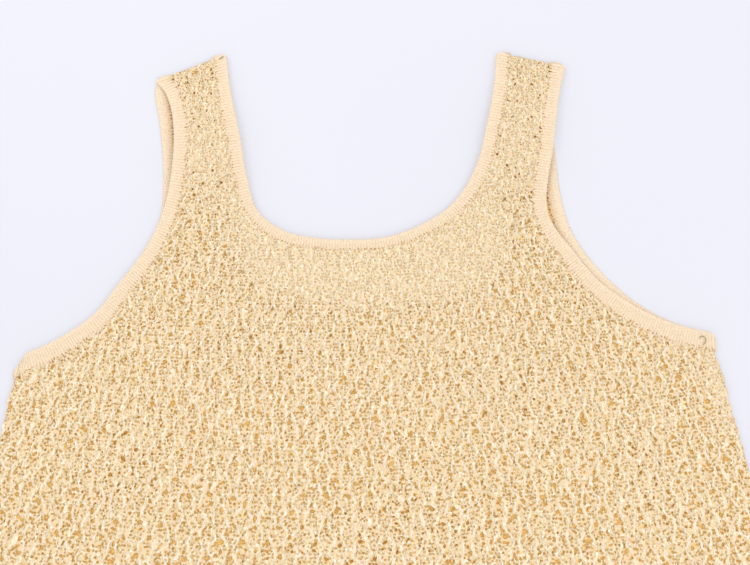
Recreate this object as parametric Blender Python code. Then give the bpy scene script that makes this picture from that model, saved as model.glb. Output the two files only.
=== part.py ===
"""A sleeveless knitted vest, laid flat: two knitted panels one on the other, with plain-knit bands
round the neck, both armholes and the hem.

Metres, +Z up. The garment lies on z = 0 with its shoulders towards +Y. The outline tables are in
millimetres from the middle of the chest, level with the armpits.
"""

import math
from collections import namedtuple

import bmesh
import bpy
import numpy as np
from mathutils import Vector
from mathutils.geometry import delaunay_2d_cdt

# Driving dimensions, in metres.
CLOTH = 0.0020  # wall of the knitted cloth
SEAM_GAP = 0.0003  # between pieces, and between the two layers
HEM_BAND = 0.015  # height of the hem band
BAND_CORNER = 0.0005  # chamfer along a band's four long edges
EDGE_STEP = 0.0060  # between points along a curved edge
SIDE_STEP = 0.0170  # between points along a side or the hem
FIELD_STEP = 0.0260  # between points inside a panel
FIELD_CLEARANCE = 0.55 * FIELD_STEP  # from those points to the panel's edge
BEND_SEGMENTS = 3  # in each quarter turn of a fold
EASE = 0.016  # stretch over which a band turns into line with the fold that it crosses

# The two layers meet at folds whose outer radius is half the height of the stack.
FOLD_RADIUS = CLOTH + SEAM_GAP / 2
MID_HEIGHT = FOLD_RADIUS
BAND_RADIUS = FOLD_RADIUS - CLOTH / 2

MM = 0.001
INSIDE_ONLY = 1  # triangulate inside the outline only

# A finished edge: where it runs, and how wide its band is there.
Edge = namedtuple("Edge", "across up band")
# A folded edge of the body, outermost line.
Side = namedtuple("Side", "across up")
# A soft swell of the upper layer: its middle, half its length and width, its turn and its height.
Swell = namedtuple("Swell", "across up half_length half_width turn height")

FRONT_NECK = (
    Edge(-87.8, 186.8, 8.6),
    Edge(-84.0, 161.8, 8.6),
    Edge(-78.4, 134.8, 8.6),
    Edge(-74.0, 109.1, 8.4),
    Edge(-66.5, 86.5, 7.6),
    Edge(-51.4, 75.2, 7.0),
    Edge(-29.5, 70.2, 6.8),
    Edge(-9.4, 69.3, 6.8),
    Edge(13.2, 70.9, 6.8),
    Edge(33.9, 78.1, 7.2),
    Edge(51.4, 88.7, 7.8),
    Edge(63.3, 102.8, 8.4),
    Edge(70.9, 119.1, 8.6),
    Edge(76.5, 143.0, 8.6),
    Edge(80.9, 166.8, 8.6),
    Edge(82.8, 188.1, 8.6),
)
BACK_NECK = (
    Edge(-87.8, 186.8, 8.6),
    Edge(-87.8, 161.8, 8.6),
    Edge(-85.9, 134.8, 8.6),
    Edge(-83.4, 109.1, 8.6),
    Edge(-80.9, 86.5, 8.4),
    Edge(-77.7, 65.8, 8.0),
    Edge(-70.9, 50.2, 7.6),
    Edge(-56.4, 38.9, 7.0),
    Edge(-29.5, 32.6, 6.8),
    Edge(6.3, 30.7, 6.8),
    Edge(47.0, 33.9, 6.8),
    Edge(70.0, 41.0, 7.0),
    Edge(82.4, 52.6, 7.6),
    Edge(86.8, 66.8, 8.0),
    Edge(86.0, 80.4, 8.4),
    Edge(82.8, 97.7, 8.6),
    Edge(80.0, 119.1, 8.6),
    Edge(80.3, 143.0, 8.6),
    Edge(82.0, 166.0, 8.6),
    Edge(82.8, 188.1, 8.6),
)
FRONT_ARMHOLE_LEFT = (
    Edge(-131.7, 169.9, 9.0),
    Edge(-126.0, 162.4, 9.0),
    Edge(-121.6, 151.1, 9.0),
    Edge(-119.9, 137.9, 9.0),
    Edge(-120.7, 116.6, 9.0),
    Edge(-123.5, 99.1, 9.0),
    Edge(-129.8, 79.0, 9.2),
    Edge(-139.2, 61.4, 9.4),
    Edge(-154.9, 41.4, 9.8),
    Edge(-169.9, 22.6, 10.2),
    Edge(-185.6, 11.3, 10.8),
    Edge(-204.4, 1.3, 11.6),
    Edge(-211.0, -1.3, 11.9),
    Edge(-218.7, -6.0, 12.0),
)
BACK_ARMHOLE_LEFT = (
    Edge(-131.7, 169.9, 9.0),
    Edge(-131.7, 161.8, 9.0),
    Edge(-129.5, 145.5, 9.0),
    Edge(-127.3, 125.4, 9.0),
    Edge(-126.7, 103.5, 9.0),
    Edge(-127.9, 87.3, 9.0),
    Edge(-132.9, 71.6, 9.2),
    Edge(-142.0, 56.4, 9.4),
    Edge(-156.0, 38.4, 9.8),
    Edge(-171.0, 20.8, 10.2),
    Edge(-186.2, 10.4, 10.8),
    Edge(-204.4, 0.9, 11.6),
    Edge(-211.0, -1.5, 11.9),
    Edge(-218.7, -6.0, 12.0),
)
FRONT_ARMHOLE_RIGHT = (
    Edge(126.0, 179.3, 9.0),
    Edge(122.3, 162.4, 9.0),
    Edge(119.8, 144.2, 9.0),
    Edge(117.9, 126.7, 9.0),
    Edge(114.7, 106.6, 9.0),
    Edge(113.8, 94.7, 9.0),
    Edge(115.4, 84.6, 9.0),
    Edge(120.4, 75.2, 9.2),
    Edge(128.5, 65.2, 9.4),
    Edge(139.2, 51.7, 9.8),
    Edge(148.6, 42.0, 10.2),
    Edge(161.1, 32.9, 10.6),
    Edge(178.7, 22.9, 11.2),
    Edge(195.0, 16.3, 11.8),
    Edge(209.0, 12.8, 12.0),
    Edge(219.8, 11.2, 12.0),
)
BACK_ARMHOLE_RIGHT = (
    Edge(126.0, 179.3, 9.0),
    Edge(122.3, 166.8, 9.0),
    Edge(120.1, 150.5, 9.0),
    Edge(118.8, 135.4, 9.0),
    Edge(120.0, 119.1, 9.0),
    Edge(121.6, 104.1, 9.0),
    Edge(124.1, 91.5, 9.0),
    Edge(127.9, 78.7, 9.2),
    Edge(134.8, 66.0, 9.4),
    Edge(146.1, 51.4, 9.8),
    Edge(157.4, 40.1, 10.2),
    Edge(172.4, 28.4, 10.8),
    Edge(187.5, 19.9, 11.4),
    Edge(200.0, 14.9, 11.8),
    Edge(210.0, 12.4, 12.0),
    Edge(219.8, 11.2, 12.0),
)
SIDE_LEFT = (
    Side(-218.7, -6.0),
    Side(-221.4, -17.0),
    Side(-224.6, -31.0),
    Side(-228.6, -50.0),
    Side(-236.4, -82.0),
    Side(-249.5, -134.8),
    Side(-266.0, -219.4),
    Side(-276.3, -313.5),
    Side(-280.0, -401.0),
)
SIDE_RIGHT = (
    Side(219.8, 11.2),
    Side(221.2, -2.0),
    Side(225.6, -16.0),
    Side(230.6, -36.0),
    Side(236.6, -56.0),
    Side(244.2, -84.0),
    Side(256.4, -134.8),
    Side(269.8, -219.4),
    Side(277.6, -313.5),
    Side(280.0, -401.0),
)
HEM = (
    Side(-280.0, -401.0),
    Side(-140.0, -403.4),
    Side(0.0, -404.0),
    Side(140.0, -403.4),
    Side(280.0, -401.0),
)
SWELLS = (
    Swell(-101.0, 127.0, 52.0, 78.0, 98.0, 3.2),
    Swell(99.0, 132.0, 52.0, 78.0, 80.0, 3.2),
    Swell(-150.0, -70.0, 52.0, 30.0, 62.0, 1.3),
    Swell(-60.0, 5.0, 70.0, 34.0, 8.0, 0.9),
    Swell(95.0, -30.0, 66.0, 34.0, -28.0, 1.2),
    Swell(178.0, -85.0, 48.0, 26.0, -70.0, 1.2),
    Swell(10.0, -120.0, 90.0, 42.0, 12.0, 1.4),
    Swell(-150.0, -225.0, 70.0, 40.0, -48.0, 1.5),
    Swell(120.0, -250.0, 84.0, 46.0, 35.0, 1.6),
    Swell(-20.0, -325.0, 80.0, 36.0, -6.0, 1.2),
)
SHOULDER_TOP = FRONT_NECK[-1].up
HEM_BOTTOM = HEM[len(HEM) // 2].up
MIDDLE_UP = (SHOULDER_TOP + HEM_BOTTOM) / 2

# Colours as linear light.
KNIT_COLOUR = (0.831, 0.624, 0.381, 1.0)
BAND_COLOUR = (0.95, 0.79, 0.56, 1.0)


def unit(vectors):
    """Each row scaled to length 1."""
    return vectors / np.linalg.norm(vectors, axis=-1, keepdims=True)


def lengths_along(points):
    """Distance of each point from the first, along the line through them."""
    steps = np.linalg.norm(np.diff(points[:, :2], axis=0), axis=1)
    return np.concatenate([[0.0], np.cumsum(steps)])


def to_metres(rows):
    """Rows of a table, as metres from the middle of the finished garment."""
    table = np.array(rows, float)
    table[:, 1] -= MIDDLE_UP
    return table * MM


def smooth(rows, step):
    """Evenly spaced rows on the cubic Hermite curve through the given ones, about one step apart."""
    chord = lengths_along(rows)
    slopes = np.gradient(rows, chord, axis=0)
    at = np.linspace(0.0, chord[-1], 60 * len(rows))
    left = np.clip(np.searchsorted(chord, at, side="right") - 1, 0, len(rows) - 2)
    span = (chord[left + 1] - chord[left])[:, None]
    part = (at - chord[left])[:, None] / span
    rise = part * part * (3.0 - 2.0 * part)
    fine = rows[left] * (1.0 - rise) + rows[left + 1] * rise
    fine += span * slopes[left] * part * (1.0 - part) ** 2
    fine -= span * slopes[left + 1] * part**2 * (1.0 - part)
    length = lengths_along(fine)
    wanted = np.linspace(0.0, length[-1], 1 + max(2, round(length[-1] / step)))
    return np.column_stack([np.interp(wanted, length, column) for column in fine.T])


def left_normals(points):
    """Unit normals to the left of the way along the points."""
    way = unit(np.gradient(points[:, :2], axis=0))
    return np.column_stack([-way[:, 1], way[:, 0]])


def swell_height(points):
    """Height that the soft swells add to the upper layer: each is a smooth mound on an ellipse."""
    height = np.zeros(len(points))
    for swell in SWELLS:
        middle = to_metres([(swell.across, swell.up)])[0]
        turn = math.radians(swell.turn)
        offset = points[:, :2] - middle
        along = offset @ (math.cos(turn), math.sin(turn)) / (swell.half_length * MM)
        over = offset @ (-math.sin(turn), math.cos(turn)) / (swell.half_width * MM)
        inside = np.clip(1.0 - along**2 - over**2, 0.0, None)
        height += swell.height * MM * inside**2
    return height


class Fold:
    """A line where the upper layer turns round into the lower one, and the way out from it."""

    def __init__(self, outermost, outward):
        self.outward = outward
        self.line = outermost - outward * FOLD_RADIUS
        self.length = lengths_along(self.line)

    def at(self, distances):
        """Points on the fold line and outward directions, at distances from its first end."""
        point = [np.interp(distances, self.length, column) for column in self.line.T]
        out = [np.interp(distances, self.length, column) for column in self.outward.T]
        return np.column_stack(point), unit(np.column_stack(out))


def side_fold(rows, outward_is_left):
    """The fold down one side, from the armpit to the hem."""
    line = smooth(to_metres(rows), SIDE_STEP)
    normals = left_normals(line)
    return Fold(line, normals if outward_is_left else -normals)


def shoulder_fold(armhole_row, neck_row):
    """The straight fold over one shoulder, from its armhole end to its neck end."""
    ends = to_metres([armhole_row[:2], neck_row[:2]])
    line = np.linspace(ends[0], ends[1], 6)
    normals = left_normals(line)
    return Fold(line, normals * np.sign(normals[0, 1]))


def bent(base, outward, angle, layer, radius):
    """Points turned by an angle round a fold: layer is 1 for the upper side and -1 for the lower."""
    flat = base + outward * radius * math.sin(angle)
    height = MID_HEIGHT + layer * radius * math.cos(angle)
    return np.column_stack([flat, np.full(len(flat), height)])


class EdgeCurve:
    """A finished edge with its band: the edge itself, and the way and distance across the band."""

    def __init__(self, rows, first, last):
        """first and last are (fold, end) where the edge crosses a fold; end is 0 or 1."""
        table = to_metres(rows)
        ends = [self.crossing(fold, end, table[row, 2]) for (fold, end), row in ((first, 0), (last, -1))]
        table[0, :2] = ends[0][0]
        table[-1, :2] = ends[1][0]
        self.points = smooth(table, EDGE_STEP)
        across = left_normals(self.points)
        middle = len(self.points) // 2
        if across[middle] @ (ends[0][1] + ends[1][1]) < 0.0:
            across = -across
        away = lengths_along(self.points)
        for direction, distance in ((ends[0][1], away), (ends[1][1], away[-1] - away)):
            weight = np.clip(1.0 - distance / EASE, 0.0, 1.0)[:, None]
            weight = weight * weight * (3.0 - 2.0 * weight)
            across = unit(across * (1.0 - weight) + direction * weight)
        self.across = across

    @staticmethod
    def crossing(fold, end, width):
        """Where the edge meets the fold line, and the direction of the band's width there."""
        start = 0.0 if end == 0 else fold.length[-1]
        inner = width if end == 0 else fold.length[-1] - width
        points, _ = fold.at([start, inner])
        return points[0], unit(points[1] - points[0])

    def shifted(self, gap=0.0):
        """The band's inner edge, or the panel's edge a gap further in."""
        return self.points[:, :2] + self.across * (self.points[:, 2:3] + gap)


def knit_material(name, colour, roughness):
    """A matt yarn surface in the given colour."""
    material = bpy.data.materials.new(name)
    material.use_nodes = True
    shader = material.node_tree.nodes["Principled BSDF"]
    shader.inputs["Base Color"].default_value = colour
    shader.inputs["Roughness"].default_value = roughness
    shader.inputs["Metallic"].default_value = 0.0
    return material


def add_object(name, points, faces, colour, collection):
    """A smooth-shaded mesh object with its own material."""
    mesh = bpy.data.meshes.new(name)
    mesh.from_pydata([Vector(point) for point in points], [], faces)
    mesh.validate()
    mesh.shade_smooth()
    mesh.set_sharp_from_angle(angle=math.radians(50.0))
    mesh.materials.append(knit_material(name, colour, 0.92))
    made = bpy.data.objects.new(name, mesh)
    collection.objects.link(made)
    return made


def band_section(outer, inner, up):
    """Eight points of a chamfered strip section at each station, from the finished edge inwards."""
    width = np.linalg.norm(inner - outer, axis=1, keepdims=True)
    over = (inner - outer) / width
    half = CLOTH / 2
    corners = (
        (BAND_CORNER, half),
        (0.0, half - BAND_CORNER),
        (0.0, BAND_CORNER - half),
        (BAND_CORNER, -half),
    )
    rim = [outer + over * inset + up * lift for inset, lift in corners]
    rim += [inner - over * inset + up * lift for inset, lift in reversed(corners)]
    return np.stack(rim, axis=1)


def flat_stations(edge, layer):
    """Sections of a band along one layer."""
    rims = []
    for line in (edge.points[:, :2], edge.shifted()):
        height = np.full(len(line), MID_HEIGHT + layer * BAND_RADIUS)
        if layer > 0:
            height += swell_height(line)
        rims.append(np.column_stack([line, height]))
    up = np.tile([0.0, 0.0, float(layer)], (len(edge.points), 1))
    return band_section(rims[0], rims[1], up)


def fold_stations(edge, end):
    """Sections of a band round a fold, from the upper layer to the lower one."""
    outer = edge.points[end, :2][None]
    inner = edge.shifted()[end][None]
    along = unit(inner - outer)
    outward = np.column_stack([-along[:, 1], along[:, 0]])
    middle = edge.points[len(edge.points) // 2, :2]
    if outward[0] @ (outer[0] - middle) < 0.0:
        outward = -outward
    sections = []
    for turn in range(1, 2 * BEND_SEGMENTS):
        angle = math.pi / 2 * turn / BEND_SEGMENTS
        rims = [bent(line, outward, angle, 1, BAND_RADIUS) for line in (outer, inner)]
        up = np.column_stack([outward * math.sin(angle), [[math.cos(angle)]]])
        sections.append(band_section(rims[0], rims[1], up)[0])
    return np.array(sections)


def add_band(name, upper, lower, collection):
    """A closed ring of band: along the upper layer, round a fold, back along the lower, round a fold."""
    stations = np.concatenate(
        [
            flat_stations(upper, 1),
            fold_stations(upper, -1),
            flat_stations(lower, -1)[::-1],
            fold_stations(upper, 0)[::-1],
        ]
    )
    count, sides = stations.shape[:2]
    ring = np.arange(count)[:, None]
    corner = np.arange(sides)[None]
    after = (ring + 1) % count
    beside = (corner + 1) % sides
    faces = np.stack(
        [ring * sides + corner, after * sides + corner, after * sides + beside, ring * sides + beside], axis=-1
    )
    made = add_object(name, stations.reshape(-1, 3), faces.reshape(-1, 4).tolist(), BAND_COLOUR, collection)
    face_outwards(made)
    return made


def face_outwards(made):
    """Turns every face of a closed mesh to point out of it."""
    mesh = bmesh.new()
    mesh.from_mesh(made.data)
    bmesh.ops.recalc_face_normals(mesh, faces=mesh.faces)
    mesh.to_mesh(made.data)
    mesh.free()


class Panel:
    """One knitted panel: the points of its flat cut, and where its two faces lie at each of them."""

    def __init__(self, layer):
        self.layer = layer
        self.cut = []
        self.faces = {"outer": [], "inner": []}
        self.outline = []

    def add(self, cut, outer, inner):
        """Points of the cut with their places on the outer and inner face. Returns their numbers."""
        first = sum(len(block) for block in self.cut)
        self.cut.append(cut)
        self.faces["outer"].append(outer)
        self.faces["inner"].append(inner)
        return list(range(first, first + len(cut)))

    def add_flat(self, line):
        """Points that lie flat on this layer."""
        lift = swell_height(line) if self.layer > 0 else np.zeros(len(line))
        outer = MID_HEIGHT + self.layer * FOLD_RADIUS + lift
        inner = MID_HEIGHT + self.layer * SEAM_GAP / 2 + lift
        return self.add(line, np.column_stack([line, outer]), np.column_stack([line, inner]))

    def add_edge(self, line):
        """An edge of the outline that lies flat."""
        self.outline += self.add_flat(line)

    def add_fold(self, fold, start, end, step):
        """An edge of the outline that turns round a fold, between two distances along its line."""
        count = 1 + max(2, round(abs(end - start) / step))
        base, outward = fold.at(np.linspace(start, end, count))
        last_angle = math.pi / 2 - SEAM_GAP / 2 / FOLD_RADIUS
        rows = [self.add_flat(base)]
        for turn in range(1, BEND_SEGMENTS + 1):
            angle = last_angle * turn / BEND_SEGMENTS
            outer = bent(base, outward, angle, self.layer, FOLD_RADIUS)
            inner = bent(base, outward, angle, self.layer, FOLD_RADIUS - CLOTH)
            inner[:, 2] = MID_HEIGHT + self.layer * SEAM_GAP / 2
            rows.append(self.add(base + outward * FOLD_RADIUS * angle, outer, inner))
        self.outline += [row[0] for row in rows[:-1]] + rows[-1] + [row[-1] for row in rows[-2::-1]]

    def add_field(self):
        """Staggered points inside the outline, clear of its edge."""
        cut = np.concatenate(self.cut)
        rim = cut[self.outline]
        low = rim.min(axis=0)
        high = rim.max(axis=0)
        rows = np.arange(low[1], high[1], FIELD_STEP * math.sqrt(0.75))
        columns = np.arange(low[0], high[0], FIELD_STEP)
        grid = np.stack(np.meshgrid(columns, rows), axis=-1)
        grid[1::2, :, 0] += FIELD_STEP / 2
        grid = grid.reshape(-1, 2)
        after = np.roll(rim, -1, axis=0)
        straddles = (rim[:, 1] > grid[:, 1:2]) != (after[:, 1] > grid[:, 1:2])
        rise = np.where(after[:, 1] == rim[:, 1], 1.0, after[:, 1] - rim[:, 1])
        meets = rim[:, 0] + (grid[:, 1:2] - rim[:, 1]) / rise * (after[:, 0] - rim[:, 0])
        inside = (straddles & (grid[:, 0:1] < meets)).sum(axis=1) % 2 == 1
        nearest = np.linalg.norm(grid[:, None] - cut[None], axis=2).min(axis=1)
        self.add_flat(grid[inside & (nearest > FIELD_CLEARANCE)])

    def build(self, name, collection):
        """The panel as a closed wall: its triangulated outer face, its inner face and its rim."""
        cut = np.concatenate(self.cut)
        edges = list(zip(self.outline, self.outline[1:] + self.outline[:1]))
        found = delaunay_2d_cdt([Vector(point) for point in cut], edges, [], INSIDE_ONLY, 1e-7)
        source = np.array([sources[0] for sources in found[3]])
        triangles = source[np.array(found[2])]
        count = len(cut)
        rim = [[start, end, end + count, start + count] for start, end in edges]
        walls = triangles.tolist() + (triangles[:, ::-1] + count).tolist() + rim
        points = np.concatenate(self.faces["outer"] + self.faces["inner"])
        made = add_object(name, points, walls, KNIT_COLOUR, collection)
        face_outwards(made)
        return made


def build_panel(name, layer, neck, left_edge, right_edge, folds, collection):
    """A panel between its bands and folds, its outline run from the hem's left end clockwise."""
    panel = Panel(layer)
    side_left, shoulder_left, shoulder_right, side_right = folds
    pit_left = left_edge.points[-1, 2] + SEAM_GAP
    pit_right = right_edge.points[-1, 2] + SEAM_GAP
    hem_end = HEM_BAND + SEAM_GAP
    panel.add_fold(side_left, side_left.length[-1] - hem_end, pit_left, SIDE_STEP)
    panel.add_edge(left_edge.shifted(SEAM_GAP)[-2:0:-1])
    over_arm = left_edge.points[0, 2] + SEAM_GAP
    over_neck = neck.points[0, 2] + SEAM_GAP
    panel.add_fold(shoulder_left, over_arm, shoulder_left.length[-1] - over_neck, EDGE_STEP)
    panel.add_edge(neck.shifted(SEAM_GAP)[1:-1])
    over_arm = right_edge.points[0, 2] + SEAM_GAP
    over_neck = neck.points[-1, 2] + SEAM_GAP
    panel.add_fold(shoulder_right, shoulder_right.length[-1] - over_neck, over_arm, EDGE_STEP)
    panel.add_edge(right_edge.shifted(SEAM_GAP)[1:-1])
    panel.add_fold(side_right, pit_right, side_right.length[-1] - hem_end, SIDE_STEP)
    hem_left, _ = side_left.at([side_left.length[-1] - hem_end])
    hem_right, _ = side_right.at([side_right.length[-1] - hem_end])
    panel.add_edge(hem_line(hem_right[0], hem_left[0])[1:-1])
    panel.add_field()
    return panel.build(name, collection)


def hem_line(start, end):
    """A line between two points, bowed like the hem."""
    rows = to_metres(HEM)
    bow = np.interp(np.linspace(-1.0, 1.0, 9), rows[:, 0] / rows[-1, 0], rows[:, 1] - rows[0, 1])
    line = np.linspace(start, end, 9)
    line[:, 1] += bow
    return smooth(line, SIDE_STEP)


class HemEdge:
    """The hem's finished edge and the top of its band, from the left fold to the right one."""

    def __init__(self, left, right):
        ends = [fold.at([fold.length[-1], fold.length[-1] - HEM_BAND])[0] for fold in (left, right)]
        self.points = hem_line(ends[0][0], ends[1][0])
        self.top = hem_line(ends[0][1], ends[1][1])

    def shifted(self):
        """The top of the band."""
        return self.top


def main():
    for leftover in list(bpy.data.objects):
        bpy.data.objects.remove(leftover)
    collection = bpy.data.collections.new("knit_vest")
    bpy.context.scene.collection.children.link(collection)

    side_left = side_fold(SIDE_LEFT, outward_is_left=False)
    side_right = side_fold(SIDE_RIGHT, outward_is_left=True)
    shoulder_left = shoulder_fold(FRONT_ARMHOLE_LEFT[0], FRONT_NECK[0])
    shoulder_right = shoulder_fold(FRONT_ARMHOLE_RIGHT[0], FRONT_NECK[-1])
    folds = (side_left, shoulder_left, shoulder_right, side_right)

    layers = (
        ("front_panel", 1, FRONT_NECK, FRONT_ARMHOLE_LEFT, FRONT_ARMHOLE_RIGHT),
        ("back_panel", -1, BACK_NECK, BACK_ARMHOLE_LEFT, BACK_ARMHOLE_RIGHT),
    )
    edges = []
    for name, layer, neck_rows, left_rows, right_rows in layers:
        neck = EdgeCurve(neck_rows, (shoulder_left, 1), (shoulder_right, 1))
        left = EdgeCurve(left_rows, (shoulder_left, 0), (side_left, 0))
        right = EdgeCurve(right_rows, (shoulder_right, 0), (side_right, 0))
        build_panel(name, layer, neck, left, right, folds, collection)
        edges.append((neck, left, right))
    names = ("neck_band", "armhole_band_left", "armhole_band_right")
    for name, upper, lower in zip(names, *edges):
        add_band(name, upper, lower, collection)
    hem = HemEdge(side_left, side_right)
    add_band("hem_band", hem, hem, collection)


main()
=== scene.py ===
"""A flat-laid knitted vest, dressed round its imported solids.

Two openwork-knit panels lie one on the other. Plain-knit bands run round the neck, both armholes
and the hem. Metres, +Z up, shoulders towards +Y. The outline tables are in millimetres from the
middle of the chest, level with the armpits, and repeat the named values of the part's source.

The openwork is charted in repeats: a chart column is counted across the panel and a chart row down
it. Each repeat holds two leaf-shaped cells, staggered by half a repeat both ways.
"""

import logging
import math
from dataclasses import dataclass, field
from enum import Enum
from typing import NamedTuple

import bpy
import numpy as np
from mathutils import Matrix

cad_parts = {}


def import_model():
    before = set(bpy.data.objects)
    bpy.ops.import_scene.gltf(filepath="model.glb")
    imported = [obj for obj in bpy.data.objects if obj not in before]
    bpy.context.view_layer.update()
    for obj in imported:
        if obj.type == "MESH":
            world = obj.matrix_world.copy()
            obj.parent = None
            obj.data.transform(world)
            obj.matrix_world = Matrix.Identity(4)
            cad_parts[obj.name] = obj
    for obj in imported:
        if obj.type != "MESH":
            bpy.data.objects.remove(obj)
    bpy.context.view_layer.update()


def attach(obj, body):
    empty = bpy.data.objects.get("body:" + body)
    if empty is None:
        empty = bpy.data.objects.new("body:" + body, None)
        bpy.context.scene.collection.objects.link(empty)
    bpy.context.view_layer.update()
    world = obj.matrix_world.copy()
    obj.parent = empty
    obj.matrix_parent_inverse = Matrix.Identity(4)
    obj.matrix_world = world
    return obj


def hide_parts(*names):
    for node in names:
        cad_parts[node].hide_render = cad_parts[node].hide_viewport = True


Array = np.ndarray

MM = 0.001
TURN = 2.0 * math.pi
CLOTH = 0.0020  # wall of the knitted cloth
SEAM_GAP = 0.0003  # between the two layers
HEM_BAND = 0.015  # height of the hem band
SEAM_STRIP = 0.0095  # width of the plain strip along the right side below the armpit
EDGE_LIFT = 0.00030  # how far a panel's edge rises to meet its band
SCALLOP = 0.0008  # how far the leaves bulge along the side folds
WALE = 0.0018  # between the ribs of a band
ROW_SHARE = 1.34  # depth of an openwork repeat as a share of its width
RIM_STEP = 0.0009  # the most that a point on a rim is moved
FINE_TO = 6.5  # the chart row where the upper panel's grid gets coarser
FOLD_REACH = 0.020  # depth within which a moved place is measured against its fold again
THREAD_RADIUS = 0.00036
THREAD_SIDES = 6
EDGE_STEP = 0.0020  # between points along a curved edge
SIDE_STEP = 0.0050  # between points along a side or the hem
EASE = 0.016  # stretch over which a band turns into line with the fold that it crosses
FOLD_RADIUS = CLOTH + SEAM_GAP / 2  # the layers meet at folds of this outer radius
MID_HEIGHT = FOLD_RADIUS
CLOTH_TOP = 0.004  # about the height of the cloth's top, where the photo's scale holds

log = logging.getLogger("vest")


class EdgeRow(NamedTuple):
    """A finished edge: where it runs, and how wide its band is there."""

    across: float
    up: float
    band: float


class SideRow(NamedTuple):
    """A folded edge of the body, outermost line."""

    across: float
    up: float


class Swell(NamedTuple):
    """A soft swell of the upper layer: its middle, half its length and width, turn and height."""

    across: float
    up: float
    half_length: float
    half_width: float
    turn: float
    height: float


class Hole(NamedTuple):
    """An opening of a leaf: its place from the leaf's top in chart units, its size in millimetres
    at the chest, how many of the leaves have it, and how far it dishes the cloth round it."""

    across: float
    down: float
    width: float
    height: float
    chance: float
    dish: float


class Layer(Enum):
    """Which layer of the flat garment a panel is."""

    UPPER = 1
    LOWER = -1


def edge_rows(*rows: tuple[float, float, float]) -> tuple[EdgeRow, ...]:
    """The table of a finished edge."""
    return tuple(EdgeRow(*row) for row in rows)


def side_rows(*rows: tuple[float, float]) -> tuple[SideRow, ...]:
    """The table of a folded edge."""
    return tuple(SideRow(*row) for row in rows)


FRONT_NECK = edge_rows(
    (-87.8, 186.8, 8.6), (-84.0, 161.8, 8.6), (-78.4, 134.8, 8.6), (-74.0, 109.1, 8.4),
    (-66.5, 86.5, 7.6), (-51.4, 75.2, 7.0), (-29.5, 70.2, 6.8), (-9.4, 69.3, 6.8),
    (13.2, 70.9, 6.8), (33.9, 78.1, 7.2), (51.4, 88.7, 7.8), (63.3, 102.8, 8.4), (70.9, 119.1, 8.6),
    (76.5, 143.0, 8.6), (80.9, 166.8, 8.6), (82.8, 188.1, 8.6),
)
BACK_NECK = edge_rows(
    (-87.8, 186.8, 8.6), (-87.8, 161.8, 8.6), (-85.9, 134.8, 8.6), (-83.4, 109.1, 8.6),
    (-80.9, 86.5, 8.4), (-77.7, 65.8, 8.0), (-70.9, 50.2, 7.6), (-56.4, 38.9, 7.0),
    (-29.5, 32.6, 6.8), (6.3, 30.7, 6.8), (47.0, 33.9, 6.8), (70.0, 41.0, 7.0), (82.4, 52.6, 7.6),
    (86.8, 66.8, 8.0), (86.0, 80.4, 8.4), (82.8, 97.7, 8.6), (80.0, 119.1, 8.6), (80.3, 143.0, 8.6),
    (82.0, 166.0, 8.6), (82.8, 188.1, 8.6),
)
FRONT_ARMHOLE_LEFT = edge_rows(
    (-131.7, 169.9, 9.0), (-126.0, 162.4, 9.0), (-121.6, 151.1, 9.0), (-119.9, 137.9, 9.0),
    (-120.7, 116.6, 9.0), (-123.5, 99.1, 9.0), (-129.8, 79.0, 9.2), (-139.2, 61.4, 9.4),
    (-154.9, 41.4, 9.8), (-169.9, 22.6, 10.2), (-185.6, 11.3, 10.8), (-204.4, 1.3, 11.6),
    (-211.0, -1.3, 11.9), (-218.7, -6.0, 12.0),
)
BACK_ARMHOLE_LEFT = edge_rows(
    (-131.7, 169.9, 9.0), (-131.7, 161.8, 9.0), (-129.5, 145.5, 9.0), (-127.3, 125.4, 9.0),
    (-126.7, 103.5, 9.0), (-127.9, 87.3, 9.0), (-132.9, 71.6, 9.2), (-142.0, 56.4, 9.4),
    (-156.0, 38.4, 9.8), (-171.0, 20.8, 10.2), (-186.2, 10.4, 10.8), (-204.4, 0.9, 11.6),
    (-211.0, -1.5, 11.9), (-218.7, -6.0, 12.0),
)
FRONT_ARMHOLE_RIGHT = edge_rows(
    (126.0, 179.3, 9.0), (122.3, 162.4, 9.0), (119.8, 144.2, 9.0), (117.9, 126.7, 9.0),
    (114.7, 106.6, 9.0), (113.8, 94.7, 9.0), (115.4, 84.6, 9.0), (120.4, 75.2, 9.2),
    (128.5, 65.2, 9.4), (139.2, 51.7, 9.8), (148.6, 42.0, 10.2), (161.1, 32.9, 10.6),
    (178.7, 22.9, 11.2), (195.0, 16.3, 11.8), (209.0, 12.8, 12.0), (219.8, 11.2, 12.0),
)
BACK_ARMHOLE_RIGHT = edge_rows(
    (126.0, 179.3, 9.0), (122.3, 166.8, 9.0), (120.1, 150.5, 9.0), (118.8, 135.4, 9.0),
    (120.0, 119.1, 9.0), (121.6, 104.1, 9.0), (124.1, 91.5, 9.0), (127.9, 78.7, 9.2),
    (134.8, 66.0, 9.4), (146.1, 51.4, 9.8), (157.4, 40.1, 10.2), (172.4, 28.4, 10.8),
    (187.5, 19.9, 11.4), (200.0, 14.9, 11.8), (210.0, 12.4, 12.0), (219.8, 11.2, 12.0),
)
SIDE_LEFT = side_rows(
    (-218.7, -6.0), (-221.4, -17.0), (-224.6, -31.0), (-228.6, -50.0), (-236.4, -82.0),
    (-249.5, -134.8), (-266.0, -219.4), (-276.3, -313.5), (-280.0, -401.0),
)
SIDE_RIGHT = side_rows(
    (219.8, 11.2), (221.2, -2.0), (225.6, -16.0), (230.6, -36.0), (236.6, -56.0), (244.2, -84.0),
    (256.4, -134.8), (269.8, -219.4), (277.6, -313.5), (280.0, -401.0),
)
HEM = side_rows(
    (-280.0, -401.0), (-140.0, -403.4), (0.0, -404.0), (140.0, -403.4), (280.0, -401.0),
)
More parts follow.
